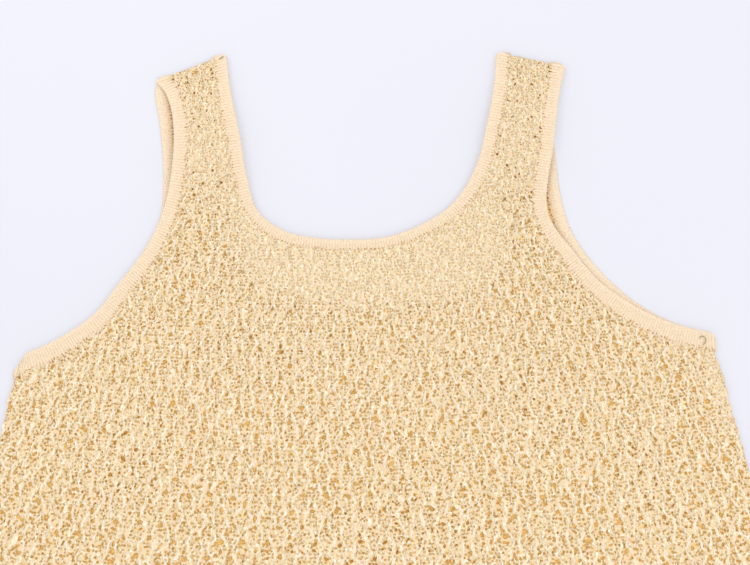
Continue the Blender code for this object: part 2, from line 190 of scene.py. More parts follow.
SWELLS = tuple(
    Swell(*row)
    for row in (
        (-101.0, 127.0, 52.0, 78.0, 98.0, 3.2), (99.0, 132.0, 52.0, 78.0, 80.0, 3.2),
        (-150.0, -70.0, 52.0, 30.0, 62.0, 1.3), (-60.0, 5.0, 70.0, 34.0, 8.0, 0.9),
        (95.0, -30.0, 66.0, 34.0, -28.0, 1.2), (178.0, -85.0, 48.0, 26.0, -70.0, 1.2),
        (10.0, -120.0, 90.0, 42.0, 12.0, 1.4), (-150.0, -225.0, 70.0, 40.0, -48.0, 1.5),
        (120.0, -250.0, 84.0, 46.0, 35.0, 1.6), (-20.0, -325.0, 80.0, 36.0, -6.0, 1.2),
    )
)
MIDDLE_UP = (FRONT_NECK[-1].up + HEM[len(HEM) // 2].up) / 2

HOLES = tuple(
    Hole(*row)
    for row in (
        (0.000, 0.000, 1.3, 2.3, 0.85, 1.0), (0.043, 0.235, 2.3, 2.2, 0.85, 1.0),
        (-0.120, 0.320, 1.3, 1.4, 0.60, 0.7), (-0.055, 0.435, 1.3, 1.4, 0.70, 0.7),
        (0.085, 0.465, 1.3, 1.4, 0.70, 0.7), (-0.222, 0.430, 1.1, 1.2, 0.55, 0.6),
        (-0.235, 0.555, 1.1, 1.3, 0.55, 0.6), (-0.120, 0.665, 1.1, 1.3, 0.55, 0.6),
        (-0.130, 0.830, 1.0, 1.2, 0.50, 0.5), (0.015, 0.640, 1.0, 1.1, 0.45, 0.5),
        (0.140, 0.575, 1.0, 1.1, 0.45, 0.5), (0.240, 0.480, 1.0, 1.1, 0.40, 0.5),
        (0.060, 0.790, 1.0, 1.1, 0.40, 0.5),
    )
)


def unit(vectors: Array) -> Array:
    """Each row scaled to length 1."""
    return vectors / np.maximum(np.linalg.norm(vectors, axis=-1, keepdims=True), 1e-12)


def lengths_along(points: Array) -> Array:
    """Distance of each point from the first, along the line through them."""
    steps = np.linalg.norm(np.diff(points[:, :2], axis=0), axis=1)
    return np.concatenate([[0.0], np.cumsum(steps)])


def to_metres(rows: tuple) -> Array:
    """Rows of a table, as metres from the middle of the finished garment."""
    table = np.array(rows, float)
    table[:, 1] -= MIDDLE_UP
    return table * MM


def ease(value: Array) -> Array:
    """Smooth step from 0 to 1: 3x^2 - 2x^3, with x held between 0 and 1."""
    part = np.clip(value, 0.0, 1.0)
    return part * part * (3.0 - 2.0 * part)


def smooth(rows: Array, step: float) -> Array:
    """Evenly spaced rows on the cubic Hermite curve through the given ones, about one step apart.

    Args:
        rows: points to pass through, with any further columns to carry along.
        step: wanted distance between the rows that come back.

    Returns:
        The spaced rows.
    """
    chord = lengths_along(rows)
    slopes = np.gradient(rows, chord, axis=0)
    at = np.linspace(0.0, chord[-1], 60 * len(rows))
    left = np.clip(np.searchsorted(chord, at, side="right") - 1, 0, len(rows) - 2)
    span = (chord[left + 1] - chord[left])[:, None]
    part = (at - chord[left])[:, None] / span
    rise = ease(part)
    fine = rows[left] * (1.0 - rise) + rows[left + 1] * rise
    fine += span * slopes[left] * part * (1.0 - part) ** 2
    fine -= span * slopes[left + 1] * part**2 * (1.0 - part)
    length = lengths_along(fine)
    wanted = np.linspace(0.0, length[-1], 1 + max(2, round(length[-1] / step)))
    return sampled(wanted, length, fine)


def sampled(at: Array, knots: Array, rows: Array) -> Array:
    """Rows read off at given places, straight between the knots."""
    return np.column_stack([np.interp(at, knots, column) for column in rows.T])


def left_normals(points: Array) -> Array:
    """Unit normals to the left of the way along the points."""
    way = unit(np.gradient(points[:, :2], axis=0))
    return np.column_stack([-way[:, 1], way[:, 0]])


def swell_height(points: Array) -> Array:
    """Height that the soft swells add to the upper layer.

    Each swell adds height * (1 - a^2 - b^2)^2 inside its ellipse, with a and b the distances from
    its middle as shares of half its length and half its width.
    """
    height = np.zeros(len(points))
    for swell in SWELLS:
        middle = to_metres([(swell.across, swell.up)])[0]
        turn = math.radians(swell.turn)
        offset = points[:, :2] - middle
        along = offset @ (math.cos(turn), math.sin(turn)) / (swell.half_length * MM)
        over = offset @ (-math.sin(turn), math.cos(turn)) / (swell.half_width * MM)
        inside = np.clip(1.0 - along**2 - over**2, 0.0, None)
        height += swell.height * MM * inside**2
    return height


class Fold:
    """A line where the upper layer turns round into the lower one, and the way out from it."""

    def __init__(self, outermost: Array, outward: Array) -> None:
        """Sets the fold line one fold radius in from its outermost line."""
        self.outward = outward
        self.line = outermost - outward * FOLD_RADIUS
        self.length = lengths_along(self.line)

    def at(self, distances: list[float]) -> tuple[Array, Array]:
        """Points on the fold line and outward directions, at distances from its first end."""
        points = sampled(np.array(distances), self.length, self.line)
        return points, unit(sampled(np.array(distances), self.length, self.outward))


def side_fold(rows: tuple, outward_is_left: bool) -> Fold:
    """The fold down one side, from the armpit to the hem."""
    line = smooth(to_metres(rows), SIDE_STEP)
    normals = left_normals(line)
    return Fold(line, normals if outward_is_left else -normals)


def shoulder_fold(armhole_row: EdgeRow, neck_row: EdgeRow) -> Fold:
    """The straight fold over one shoulder, from its armhole end to its neck end."""
    ends = to_metres([armhole_row[:2], neck_row[:2]])
    line = np.linspace(ends[0], ends[1], 6)
    normals = left_normals(line)
    return Fold(line, normals * np.sign(normals[0, 1]))


class EdgeCurve:
    """A finished edge with its band: the edge itself, and the way and distance across the band."""

    def __init__(self, rows: tuple, first: tuple[Fold, int], last: tuple[Fold, int]) -> None:
        """Runs the edge between two folds.

        Args:
            rows: the edge's table.
            first: the fold that it starts at, and 0 or 1 for that fold's first or last end.
            last: the same where it stops.
        """
        table = to_metres(rows)
        pairs = ((first, 0), (last, -1))
        ends = [self.crossing(fold, end, table[row, 2]) for (fold, end), row in pairs]
        table[0, :2] = ends[0][0]
        table[-1, :2] = ends[1][0]
        self.points = smooth(table, EDGE_STEP)
        across = left_normals(self.points)
        middle = len(self.points) // 2
        if across[middle] @ (ends[0][1] + ends[1][1]) < 0.0:
            across = -across
        away = lengths_along(self.points)
        for direction, distance in ((ends[0][1], away), (ends[1][1], away[-1] - away)):
            weight = ease(1.0 - distance / EASE)[:, None]
            across = unit(across * (1.0 - weight) + direction * weight)
        self.across = across

    @staticmethod
    def crossing(fold: Fold, end: int, width: float) -> tuple[Array, Array]:
        """Where the edge meets the fold line, and the direction of the band's width there."""
        start = 0.0 if end == 0 else fold.length[-1]
        inner = width if end == 0 else fold.length[-1] - width
        points, _ = fold.at([start, inner])
        return points[0], unit(points[1] - points[0])

    def inner(self) -> Array:
        """The band's inner edge."""
        return self.points[:, :2] + self.across * self.points[:, 2:3]


def hem_line(start: Array, end: Array) -> Array:
    """A line between two points, bowed like the hem."""
    rows = to_metres(HEM)
    at = np.linspace(-1.0, 1.0, 9)
    line = np.linspace(start, end, len(at))
    line[:, 1] += np.interp(at, rows[:, 0] / rows[-1, 0], rows[:, 1] - rows[0, 1])
    return smooth(line, SIDE_STEP)


@dataclass
class Pattern:
    """The garment's cut: its folds, and the edges of each layer."""

    side_left: Fold = field(default_factory=lambda: side_fold(SIDE_LEFT, False))
    side_right: Fold = field(default_factory=lambda: side_fold(SIDE_RIGHT, True))
    shoulder_left: Fold = field(
        default_factory=lambda: shoulder_fold(FRONT_ARMHOLE_LEFT[0], FRONT_NECK[0])
    )
    shoulder_right: Fold = field(
        default_factory=lambda: shoulder_fold(FRONT_ARMHOLE_RIGHT[0], FRONT_NECK[-1])
    )

    def __post_init__(self) -> None:
        """Runs the edges of both layers between the folds."""
        self.neck = {
            Layer.UPPER: self.neck_edge(FRONT_NECK),
            Layer.LOWER: self.neck_edge(BACK_NECK),
        }
        self.arm_left = {
            Layer.UPPER: self.arm_edge(FRONT_ARMHOLE_LEFT, self.shoulder_left, self.side_left),
            Layer.LOWER: self.arm_edge(BACK_ARMHOLE_LEFT, self.shoulder_left, self.side_left),
        }
        self.arm_right = {
            Layer.UPPER: self.arm_edge(FRONT_ARMHOLE_RIGHT, self.shoulder_right, self.side_right),
            Layer.LOWER: self.arm_edge(BACK_ARMHOLE_RIGHT, self.shoulder_right, self.side_right),
        }

    def neck_edge(self, rows: tuple) -> EdgeCurve:
        """A neck edge, between the neck ends of both shoulders."""
        return EdgeCurve(rows, (self.shoulder_left, 1), (self.shoulder_right, 1))

    def arm_edge(self, rows: tuple, shoulder: Fold, side: Fold) -> EdgeCurve:
        """An armhole edge, from a shoulder to the armpit."""
        return EdgeCurve(rows, (shoulder, 0), (side, 0))

    def hem_ends(self, height: float) -> list[Array]:
        """Points on both side folds, a height above the hem."""
        return [
            fold.at([fold.length[-1] - height])[0][0] for fold in (self.side_left, self.side_right)
        ]


class Border:
    """A line that bounds a panel, drawn out past both ends, with its way inwards."""

    REACH = 0.080  # how far each end is drawn out
    BLOCK = 20000  # points measured at a time
    SPARSE = 6  # every how many points of the line serve for a first rough measure
    CLOSE = 0.009  # rough distance under which a place is measured closely

    def __init__(self, line: Array, inward: Array) -> None:
        """Draws the line out at both ends.

        Args:
            line: points along the border.
            inward: the way into the panel at each of them.
        """
        first = line[0] + unit(line[0] - line[1]) * self.REACH
        last = line[-1] + unit(line[-1] - line[-2]) * self.REACH
        self.line = np.concatenate([[first], line, [last]])
        self.inward = np.concatenate([inward[:1], inward, inward[-1:]])

    def measure(self, points: Array) -> tuple[Array, Array]:
        """Distance into the panel, and the unit way inwards at the nearest place of the border.

        Every place is measured against a sparse line first, and the close ones against all of it.
        """
        count = len(self.line)
        ends = [0, count - 2, count - 1]
        sparse = np.unique(np.append(np.arange(1, count - 1, self.SPARSE), ends))
        depth, inward = self.nearest(points, self.line[sparse], self.inward[sparse])
        close = np.abs(depth) < self.CLOSE
        if close.any():
            depth[close], inward[close] = self.nearest(points[close], self.line, self.inward)
        return depth, inward

    def nearest(self, points: Array, line: Array, ways: Array) -> tuple[Array, Array]:
        """Signed distance to a line, and the way inwards at its nearest place.

        The nearest place on each stretch is found by its share along the stretch, held between 0
        and 1, and the distance takes the sign of the offset's part along the way inwards.
        """
        start = line[:-1]
        way = np.diff(line, axis=0)
        length2 = (way**2).sum(axis=1)
        depth = np.empty(len(points))
        inward = np.empty((len(points), 2))
        for first in range(0, len(points), self.BLOCK):
            block = points[first : first + self.BLOCK]
            offset = block[:, None] - start[None]
            share = np.clip((offset * way).sum(axis=2) / length2, 0.0, 1.0)
            gap2 = ((offset - share[..., None] * way) ** 2).sum(axis=2)
            near = gap2.argmin(axis=1)
            rows = np.arange(len(block))
            part = share[rows, near][:, None]
            at = start[near] + part * way[near]
            into = unit(ways[near] * (1.0 - part) + ways[near + 1] * part)
            away = block - at
            sign = np.where((away * into).sum(axis=1) < 0.0, -1.0, 1.0)
            depth[first : first + len(block)] = sign * np.sqrt(gap2[rows, near])
            inward[first : first + len(block)] = into
        return depth, inward


@dataclass(frozen=True)
class Chart:
    """Where the openwork's repeats lie on the flat cut, in millimetres.

    A repeat is as wide as spread * (apex - up), so its columns fan out from a point far above the
    neck. Below the chest it grows more slowly, with the body. It is row_share times as deep as
    wide, and the rows bow up to both sides by x^2 / bow.
    """

    middle: float = -47.0
    spread: float = 0.01708
    apex: float = 752.4
    slow_from: float = -150.0
    slow_spread: float = 0.0062
    row_share: float = ROW_SHARE
    row_zero: float = -40.8
    bow: float = 3172.6
    top: float = 260.0
    bottom: float = -520.0

    def tables(self) -> tuple[Array, Array, Array]:
        """Heights on the cut from top to bottom, and the repeat's width and the row at each."""
        up = np.arange(self.top, self.bottom, -1.0)
        growth = self.slow_spread + (self.spread - self.slow_spread) * ease(
            (up - self.slow_from + 25.0) / 50.0
        )
        width = self.spread * (self.apex - self.top)
        width = width + np.concatenate([[0.0], np.cumsum(growth[:-1])])
        row = np.concatenate([[0.0], np.cumsum(1.0 / (self.row_share * width[:-1]))])
        row -= np.interp(-self.row_zero, -up, row)
        return up, width, row

    def to_cut(self, column: Array, row: Array) -> tuple[Array, Array]:
        """Places on the cut and the repeat's width there, in metres, for chart places."""
        up_table, width_table, row_table = self.tables()
        level = np.interp(row, row_table, up_table)
        up = level
        for _ in range(4):
            width = np.interp(-up, -up_table, width_table)
            up = level + (column * width) ** 2 / self.bow
        width = np.interp(-up, -up_table, width_table)
        places = np.stack([self.middle + column * width, up - MIDDLE_UP], axis=-1)
        return places * MM, width * MM


@dataclass(frozen=True)
class Openwork:
    """The relief of the openwork: leaves of fine mesh between ridges that sway to both sides."""

    seed: int
    openness: float = 1.0  # share of the holes' usual size and number
    ridge_height: float = 0.00075
    floor_depth: float = 0.00055
    ridge_width: float = 0.090  # half the ridge's foot, in chart columns
    ridge_slope: float = 1.30  # how soon its section steps up to its flat top
    sway: float = 0.105  # in chart columns
    fading: float = 0.30  # of a ridge's height, to both sides of its mean, along its way
    stitches: float = 5.5  # along a ridge, in each repeat
    table_side: int = 64  # leaves along each side of a table of random numbers
    second_leaves: int = 17  # columns of the table between the draws of the two sets of leaves
    chest_repeat: float = 0.01285
    astray: tuple[float, float] = (0.0011, 0.0012)  # over which a hole may be shifted
    dish_fall: float = 1.9  # how fast a dish ends outside its hole

    def draws(self, count: int) -> Array:
        """A table of even random numbers for the leaves, count of them for each."""
        shape = (self.table_side, self.table_side, count)
        return np.random.default_rng(self.seed).random(shape)

    @staticmethod
    def pulled(column: Array, row: Array) -> tuple[Array, Array]:
        """Chart places as the knit really lies, pulled about a little.

        Each is moved by a few long sine waves that run askew over the chart.
        """
        shift = 0.040 * np.sin(TURN * (0.83 * column + 0.47 * row))
        shift += 0.032 * np.sin(TURN * (0.29 * column - 0.71 * row + 0.3))
        shift += 0.020 * np.sin(TURN * (1.63 * row - 0.41 * column + 0.6))
        drop = 0.045 * np.sin(TURN * (0.57 * column - 0.39 * row + 0.2))
        drop += 0.035 * np.sin(TURN * (1.13 * column + 0.67 * row + 0.7))
        return column + shift, row + drop

    def ridges(self, column: Array, row: Array) -> tuple[Array, Array]:
        """How far up a ridge each place is, from 0 at its foot to 1 on top, and its stitches.

        Between two half columns one ridge runs at (m + 1/2) / 2 -+ sway * cos(2 pi row), so it
        closes on each leaf's top and opens round its middle. Two short waves make it wander. Its
        section is a smooth step up and down, flat on top, and its height swells and fades along it
        as a sine. Its stitches are slanted waves along it, leaning in turn to both sides.
        """
        half = np.floor(2.0 * column)
        side = np.where(half % 2 == 0, -1.0, 1.0)
        places = half.astype(int) % self.table_side, np.floor(row).astype(int) % self.table_side
        own = self.draws(4)[places][..., 0]
        wobble = 0.030 * np.sin(TURN * (1.7 * row + 0.37 * half))
        wobble += 0.020 * np.sin(TURN * (4.3 * row + 0.61 * half))
        middle = (half + 0.5) / 2.0 + side * self.sway * np.cos(TURN * row) + wobble
        over = (column - middle) / self.ridge_width
        strength = 1.0 - self.fading + self.fading * np.sin(TURN * (1.9 * row + 0.77 * half))
        rise = ease(self.ridge_slope * (1.0 - np.abs(over))) * strength
        phase = self.stitches * row + 0.55 * over * side + 0.31 * half + 0.25 * own
        knots = 0.5 + 0.5 * np.cos(TURN * phase)
        return rise, knots

    def holes(
        self, column: Array, row: Array, width: Array, loose: Array
    ) -> tuple[Array, Array, Array]:
        """The holes of the leaves.

        Each hole is an ellipse. Its measure is q = distance from its middle as a share of its
        radius that way, and the depth into the hole is (1 - q) * radius.

        Args:
            column, row: places on the chart.
            width: the repeat's width there, in metres.
            loose: how open the knit is there, 1 for the usual.

        Returns:
            The depth into the nearest hole in metres, its way towards the middle, and the dish
            round it from 0 to 1.
        """
        depth = np.full(column.shape, -1.0)
        way = np.zeros(column.shape + (2,))
        dish = np.zeros(column.shape)
        draws = self.draws(4 * len(HOLES) + 1)
        for stagger, shifted in ((0.0, 0), (0.5, self.second_leaves)):
            for number, hole in enumerate(HOLES):
                across = column - hole.across - stagger
                down = row - hole.down - stagger
                leaf_across = (np.round(across).astype(int) + shifted) % self.table_side
                own = draws[leaf_across, np.round(down).astype(int) % self.table_side]
                chance, grow, shift_x, shift_y = (own[..., 4 * number + k] for k in range(4))
                there = chance < hole.chance * self.openness * loose
                grow = (0.62 + 0.62 * grow) * self.openness * (0.5 + 0.5 * loose)
                scale = width / self.chest_repeat * MM / 2.0 * grow
                offset_x = (across - np.round(across)) * width - (shift_x - 0.5) * self.astray[0]
                offset_y = -(down - np.round(down)) * width * ROW_SHARE
                offset_y = offset_y - (shift_y - 0.5) * self.astray[1]
                share_x, share_y = offset_x / (scale * hole.width), offset_y / (scale * hole.height)
                measure = np.maximum(np.hypot(share_x, share_y), 1e-6)
                radius = np.hypot(offset_x, offset_y) / measure
                inside = np.where(there, (1.0 - measure) * radius, -1.0)
                better = inside > depth
                depth = np.where(better, inside, depth)
                towards = -np.stack([offset_x, offset_y], axis=-1)
                way = np.where(better[..., None], unit(towards), way)
                faint = np.where(there, 1.0, 0.55)
                outside = np.clip(measure - 0.8, 0.0, None)
                dish = np.maximum(dish, hole.dish * faint * np.exp(-outside * self.dish_fall))
        return depth, way, dish


@dataclass(frozen=True)
class Mesh:
    """Arrays of a made surface."""

    points: Array
    faces: Array
    uv: Array
    marks: dict[str, Array]

    def part(self, chosen: Array) -> "Mesh":
        """The chosen faces alone, with only the points that they use."""
        used, faces = np.unique(self.faces[chosen], return_inverse=True)
        marks = {name: values[used] for name, values in self.marks.items()}
        shape = (-1, self.faces.shape[1])
        return Mesh(self.points[used], faces.reshape(shape), self.uv[chosen], marks)

    def joined(self, other: "Mesh") -> "Mesh":
        """This surface with another one beside it, in one."""
        marks = {
            name: np.concatenate([values, other.marks[name]]) for name, values in self.marks.items()
        }
        return Mesh(
            np.concatenate([self.points, other.points]),
            np.concatenate([self.faces, other.faces + len(self.points)]),
            np.concatenate([self.uv, other.uv]),
            marks,
        )

    def build(self, name: str, material: bpy.types.Material) -> bpy.types.Object:
        """The surface as a smooth-shaded object at the origin, with its UV map and attributes."""
        mesh = bpy.data.meshes.new(name)
        sides = self.faces.shape[1]
        mesh.vertices.add(len(self.points))
        mesh.vertices.foreach_set("co", self.points.astype(np.float32).ravel())
        mesh.loops.add(self.faces.size)
        mesh.loops.foreach_set("vertex_index", self.faces.astype(np.int32).ravel())
        mesh.polygons.add(len(self.faces))
        starts = np.arange(0, self.faces.size, sides, dtype=np.int32)
        mesh.polygons.foreach_set("loop_start", starts)
        mesh.update(calc_edges=True)
        layer = mesh.uv_layers.new(name="stitch")
        layer.uv.foreach_set("vector", self.uv.astype(np.float32).ravel())
        for mark, values in self.marks.items():
            attribute = mesh.attributes.new(mark, "FLOAT", "POINT")
            attribute.data.foreach_set("value", values.astype(np.float32))
        mesh.shade_smooth()
        mesh.materials.append(material)
        made = bpy.data.objects.new(name, mesh)
        bpy.context.scene.collection.objects.link(made)
        log.info("%s: %d faces of %d sides", name, len(self.faces), sides)
        return made


class Piece(NamedTuple):
    """A stretch of a panel that is one object: its name, its chart columns and rows, and the bands
    knitted onto it."""

    name: str
    first_column: float
    last_column: float
    first_row: float
    last_row: float
    bands: tuple[str, ...] = ()


@dataclass
class KnitPanel:
    """One openwork panel: a thin sheet in relief inside its solid's wall.

    Its grid is charted in repeats. Each place goes to the flat cut, and from there onto its layer,
    round the folds at the sides and the shoulders.
    """

    pattern: Pattern
    layer: Layer
    node: str
    slot: str
    pieces: tuple[Piece, ...]
    rows: Array
    columns_a_repeat: int
    seed: int
    sheet_radius: float = 0.00105  # of the sheet's middle, round the folds
    openness: float = 1.0
    shift: tuple[float, float] = (0.0, 0.0)  # of the repeats on the chart
    wrap: float = 1.95  # the furthest that it turns round a fold, in radians
    tuck: float = 0.0011  # how far it runs on under its bands
    chart: Chart = field(default_factory=Chart)

    def borders(self) -> tuple[list[Border], list[Border]]:
        """The borders along the bands, and those along the folds."""
        neck = self.pattern.neck[self.layer]
        left = self.pattern.arm_left[self.layer]
        right = self.pattern.arm_right[self.layer]
        banded = [Border(edge.inner(), edge.across) for edge in (neck, left, right)]
        top = hem_line(*self.pattern.hem_ends(HEM_BAND))
        banded.append(Border(top, np.tile([0.0, 1.0], (len(top), 1))))
        folds = (
            self.pattern.side_left,
            self.pattern.side_right,
            self.pattern.shoulder_left,
            self.pattern.shoulder_right,
        )
        return banded, [Border(fold.line, -fold.outward) for fold in folds]

    def laid(self, cut: Array, relief: Array, folded: list[tuple[Array, Array]]) -> Array:
        """Places in space for places on the flat cut.

        Inside the folds the height is the middle height +- (radius + relief), and the upper layer
        adds its swells. Past a fold a place turns round it by distance / radius.

        Args:
            cut: places on the flat cut.
            relief: how far each stands out from the sheet's middle.
            folded: depth into the panel and way inwards, for each fold.

        Returns:
            The places in space.
        """
        side = self.layer.value
        flat = cut.copy()
        angle = np.zeros(len(cut))
        outward = np.zeros((len(cut), 2))
        for depth, inward in folded:
            past = np.clip(-depth, 0.0, None)
            turns = past > angle * self.sheet_radius
            angle = np.where(turns, np.minimum(past / self.sheet_radius, self.wrap), angle)
            outward = np.where(turns[:, None], -inward, outward)
            flat = np.where(turns[:, None], cut + inward * past[:, None], flat)
        reach = self.sheet_radius + relief
        place = flat + outward * (reach * np.sin(angle))[:, None]
        height = MID_HEIGHT + side * reach * np.cos(angle)
        if self.layer is Layer.UPPER:
            height += swell_height(flat)
        return np.column_stack([place, np.maximum(height, 0.0)])

    def even_places(self, flat: Array) -> tuple[Array, Array]:
        """Where the knit is plainer, and where it is less open.

        On the upper layer the knit is plain along the right side just below the armpit, where a
        seam is turned to the front. It is less open where no second layer lies beneath it, below
        the neck band, and where the straps swell.

        Args:
            flat: places on the flat cut.

        Returns:
            How plain each is, from 0 to 1, and how open, 1 for the usual.
        """
        if self.layer is Layer.LOWER:
            return np.zeros(len(flat)), np.ones(len(flat))
        side = self.pattern.side_right
        depth, _ = Border(side.line, -side.outward).measure(flat)
        up = flat[:, 1] / MM + MIDDLE_UP
        calm = ease((SEAM_STRIP - depth) / 0.003) * ease((depth + 0.004) / 0.003)
        calm = calm * ease((up + 62.0) / 30.0)
        lower = self.pattern.neck[Layer.LOWER]
        depth, _ = Border(lower.points[:, :2], lower.across).measure(flat)
        bare = ease((0.009 - depth) / 0.014)
        swollen = np.clip(swell_height(flat) / 0.003, 0.0, 1.0)
        loose = (1.0 - 0.92 * bare) * (1.0 - 0.45 * swollen) * (1.0 - 0.75 * calm)
        loose = loose * (1.11 - 0.23 * ease((up + 120.0) / 140.0))
        return calm, loose

    def trim(self, flat: Array, hole: Array, to_hole: Array) -> tuple[Array, Array, Array, list]:
        """Cuts the cloth off under its bands, past its folds and in its holes.

        The faces whose middle lies outside go, and the points that then lie on a rim are moved onto
        the border or the hole's edge, by no more than RIM_STEP.

        Args:
            flat: places on the flat cut.
            hole: depth of each into the nearest hole, in the shape of the grid.
            to_hole: the way towards that hole's middle.

        Returns:
            The moved places, which faces of the grid are kept, the depth in from the nearest band,
            and the depth and way inwards of each fold.
        """
        banded, folds = self.borders()
        leave = hole.ravel().copy()
        way = to_hole.reshape(-1, 2).copy()
        near_band = np.full(len(flat), 1.0)
        for border in banded:
            depth, inward = border.measure(flat)
            near_band = np.minimum(near_band, depth)
            out = -depth - self.tuck
            worse = (out > leave) | (out > 0.0)
            leave = np.where(worse, out, leave)
            way = np.where(worse[:, None], -inward, way)
        folded = []
        for border in folds:
            depth, inward = border.measure(flat)
            folded.append((depth, inward))
            out = -depth - self.sheet_radius * self.wrap
            worse = out > leave
            leave = np.where(worse, out, leave)
            way = np.where(worse[:, None], -inward, way)
        kept, rim = self.kept_faces(leave.reshape(hole.shape))
        step = np.where(rim, np.clip(leave, -RIM_STEP, RIM_STEP), 0.0)
        moved = flat - way * step[:, None]
        for border, (depth, _) in zip(folds, folded):
            close = np.abs(depth) < FOLD_REACH
            depth[close] = border.measure(moved[close])[0]
        return moved, kept, near_band, folded

    @staticmethod
    def kept_faces(leave: Array) -> tuple[Array, Array]:
        """Which faces of the grid have their middle on the cloth, and which points are on a rim."""
        middle = (leave[:-1, :-1] + leave[1:, :-1] + leave[:-1, 1:] + leave[1:, 1:]) / 4.0
        kept = middle < 0.0
        touches_kept = np.zeros(leave.shape, bool)
        touches_lost = np.zeros(leave.shape, bool)
        rows, columns = kept.shape
        for down in (0, 1):
            for over in (0, 1):
                window = slice(down, rows + down), slice(over, columns + over)
                touches_kept[window] |= kept
                touches_lost[window] |= ~kept
        return kept, (touches_kept & touches_lost).ravel()

    def edge_relief(self, relief: Array, row: Array, near_band: Array, folded: list) -> Array:
        """The relief as it runs out at the edges.

        It rises evenly to meet a band. Along a side it draws in next to the band and bulges with
        each leaf, as 1/2 + 1/2 cos(4 pi row).
        """
        edge = ease((near_band + 0.0003) / 0.0030)
        relief = relief * edge + EDGE_LIFT * (1.0 - edge)
        bulge = 0.5 + 0.5 * np.cos(2.0 * TURN * row)
        for depth, _ in folded[:2]:
            relief -= 3.0 * EDGE_LIFT * ease(1.0 - depth / 0.003) * ease(1.0 - near_band / 0.006)
            relief += SCALLOP * bulge * ease(1.0 - depth / 0.006) * ease(near_band / 0.012)
        return relief

    def surface(self) -> tuple[Mesh, Array, Array]:
        """The whole panel.

        The fine mesh of the leaves is a product of two cosines, one across and one down the chart.

        Returns:
            The mesh, the chart column and row of each face's middle, and each face's corners on the
            flat cut.
        """
        columns = np.arange(-15 * self.columns_a_repeat, 21 * self.columns_a_repeat + 1)
        row, column = np.meshgrid(self.rows, columns / self.columns_a_repeat, indexing="ij")
        cut, width = self.chart.to_cut(column, row)
        shape = row.shape
        work = Openwork(self.seed, self.openness)
        flat = cut.reshape(-1, 2)
        calm, loose = (part.reshape(shape) for part in self.even_places(flat))
        paler = np.clip(calm + 1.0 - loose, 0.0, 1.0)
        strap = ease((flat[:, 1].reshape(shape) / MM + MIDDLE_UP - 60.0) / 60.0)
        lies_column, lies_row = work.pulled(column + self.shift[0], row + self.shift[1])
        rise, knots = work.ridges(lies_column, lies_row)
        rise = rise * (1.0 - 0.45 * calm) * (1.0 - 0.15 * strap) * (1.0 - 0.25 * paler)
        hole, to_hole, dish = work.holes(lies_column, lies_row, width, loose)
        dish = dish * (1.0 - 0.70 * calm) * (0.5 + 0.5 * loose)
        moved, kept, near_band, folded = self.trim(flat, hole, to_hole)

        mesh_bumps = 0.5 + 0.5 * np.cos(TURN * (column * 5.5 + 0.25 * np.sin(9.0 * row)))
        mesh_bumps *= 0.5 + 0.5 * np.cos(TURN * (row * 7.5 + 0.5 * column))
        body = rise * (0.55 + 0.45 * knots)
        relief = work.ridge_height * body + work.floor_depth * (
            0.5 * mesh_bumps * (1.0 - rise) - 0.6 * (1.0 - rise) - 0.7 * dish * (1.0 - 0.6 * rise)
        )
        relief = self.edge_relief(relief.ravel(), lies_row.ravel(), near_band, folded)
        # Painted shade off the ridges and round the holes, less where the knit is paler.
        cavity_shade = np.clip(0.22 * (1.0 - body) + 0.70 * dish * (1.0 - 0.35 * rise), 0.0, 1.0)
        # The ridge mark carries the painted highlight of the crests and holds back the shade
        # specks; it is held up a little on the straps and the paler places.
        quiet = 0.22 * np.maximum(strap, paler)
        marks = {
            "cavity_shade": (cavity_shade * (1.0 - 0.45 * paler)).ravel(),
            "ridge": np.maximum(body, quiet).ravel(),
        }

        numbers = np.arange(len(flat)).reshape(shape)
        corners = numbers[1:, :-1], numbers[1:, 1:], numbers[:-1, 1:], numbers[:-1, :-1]
        quads = np.stack(corners, axis=-1)[kept]
        if self.layer is Layer.LOWER:
            quads = quads[:, ::-1]
        chart_at = np.column_stack([column.ravel(), row.ravel()])
        uv = (chart_at * (work.chest_repeat * np.array([1.0, -ROW_SHARE])))[quads]
        whole = Mesh(self.laid(moved, relief, folded), quads, uv, marks)
        return whole, chart_at[quads].mean(axis=1), moved[quads]

    def build(self, material: bpy.types.Material) -> list[bpy.types.Object]:
        """Makes the panel's pieces and hides the panel's solid."""
        whole, at, corners = self.surface()
        made = []
        for piece in self.pieces:
            chosen = (at[:, 0] > piece.first_column) & (at[:, 0] < piece.last_column)
            chosen &= (at[:, 1] > piece.first_row) & (at[:, 1] < piece.last_row)
            obj = whole.part(chosen).build(piece.name, material)
            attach(obj, "root")
            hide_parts(self.node)
            made.append(obj)
        return made


ThreadRows = tuple[tuple[float, float, float], ...]  # places in mm, and heights above the band

LOOSE_END: ThreadRows = (
    (-91.8, 182.4, 0.0), (-90.6, 182.9, 0.1), (-89.6, 183.6, 0.2), (-88.6, 184.2, 0.2),
)
LOOP: ThreadRows = (
    (209.6, 7.0, 0.0), (210.0, 8.2, 0.1), (211.4, 8.8, 0.1), (213.0, 8.0, 0.1),
    (213.6, 6.0, 0.1), (213.0, 4.2, 0.1), (211.8, 3.2, 0.0),
)


class RimPoint(NamedTuple):
    """A point of a band's section: its place across as a share of the width plus millimetres, its
    height in millimetres, and how much of the ribs it takes."""

    share: float
    inset: float
    height: float
    rib: float


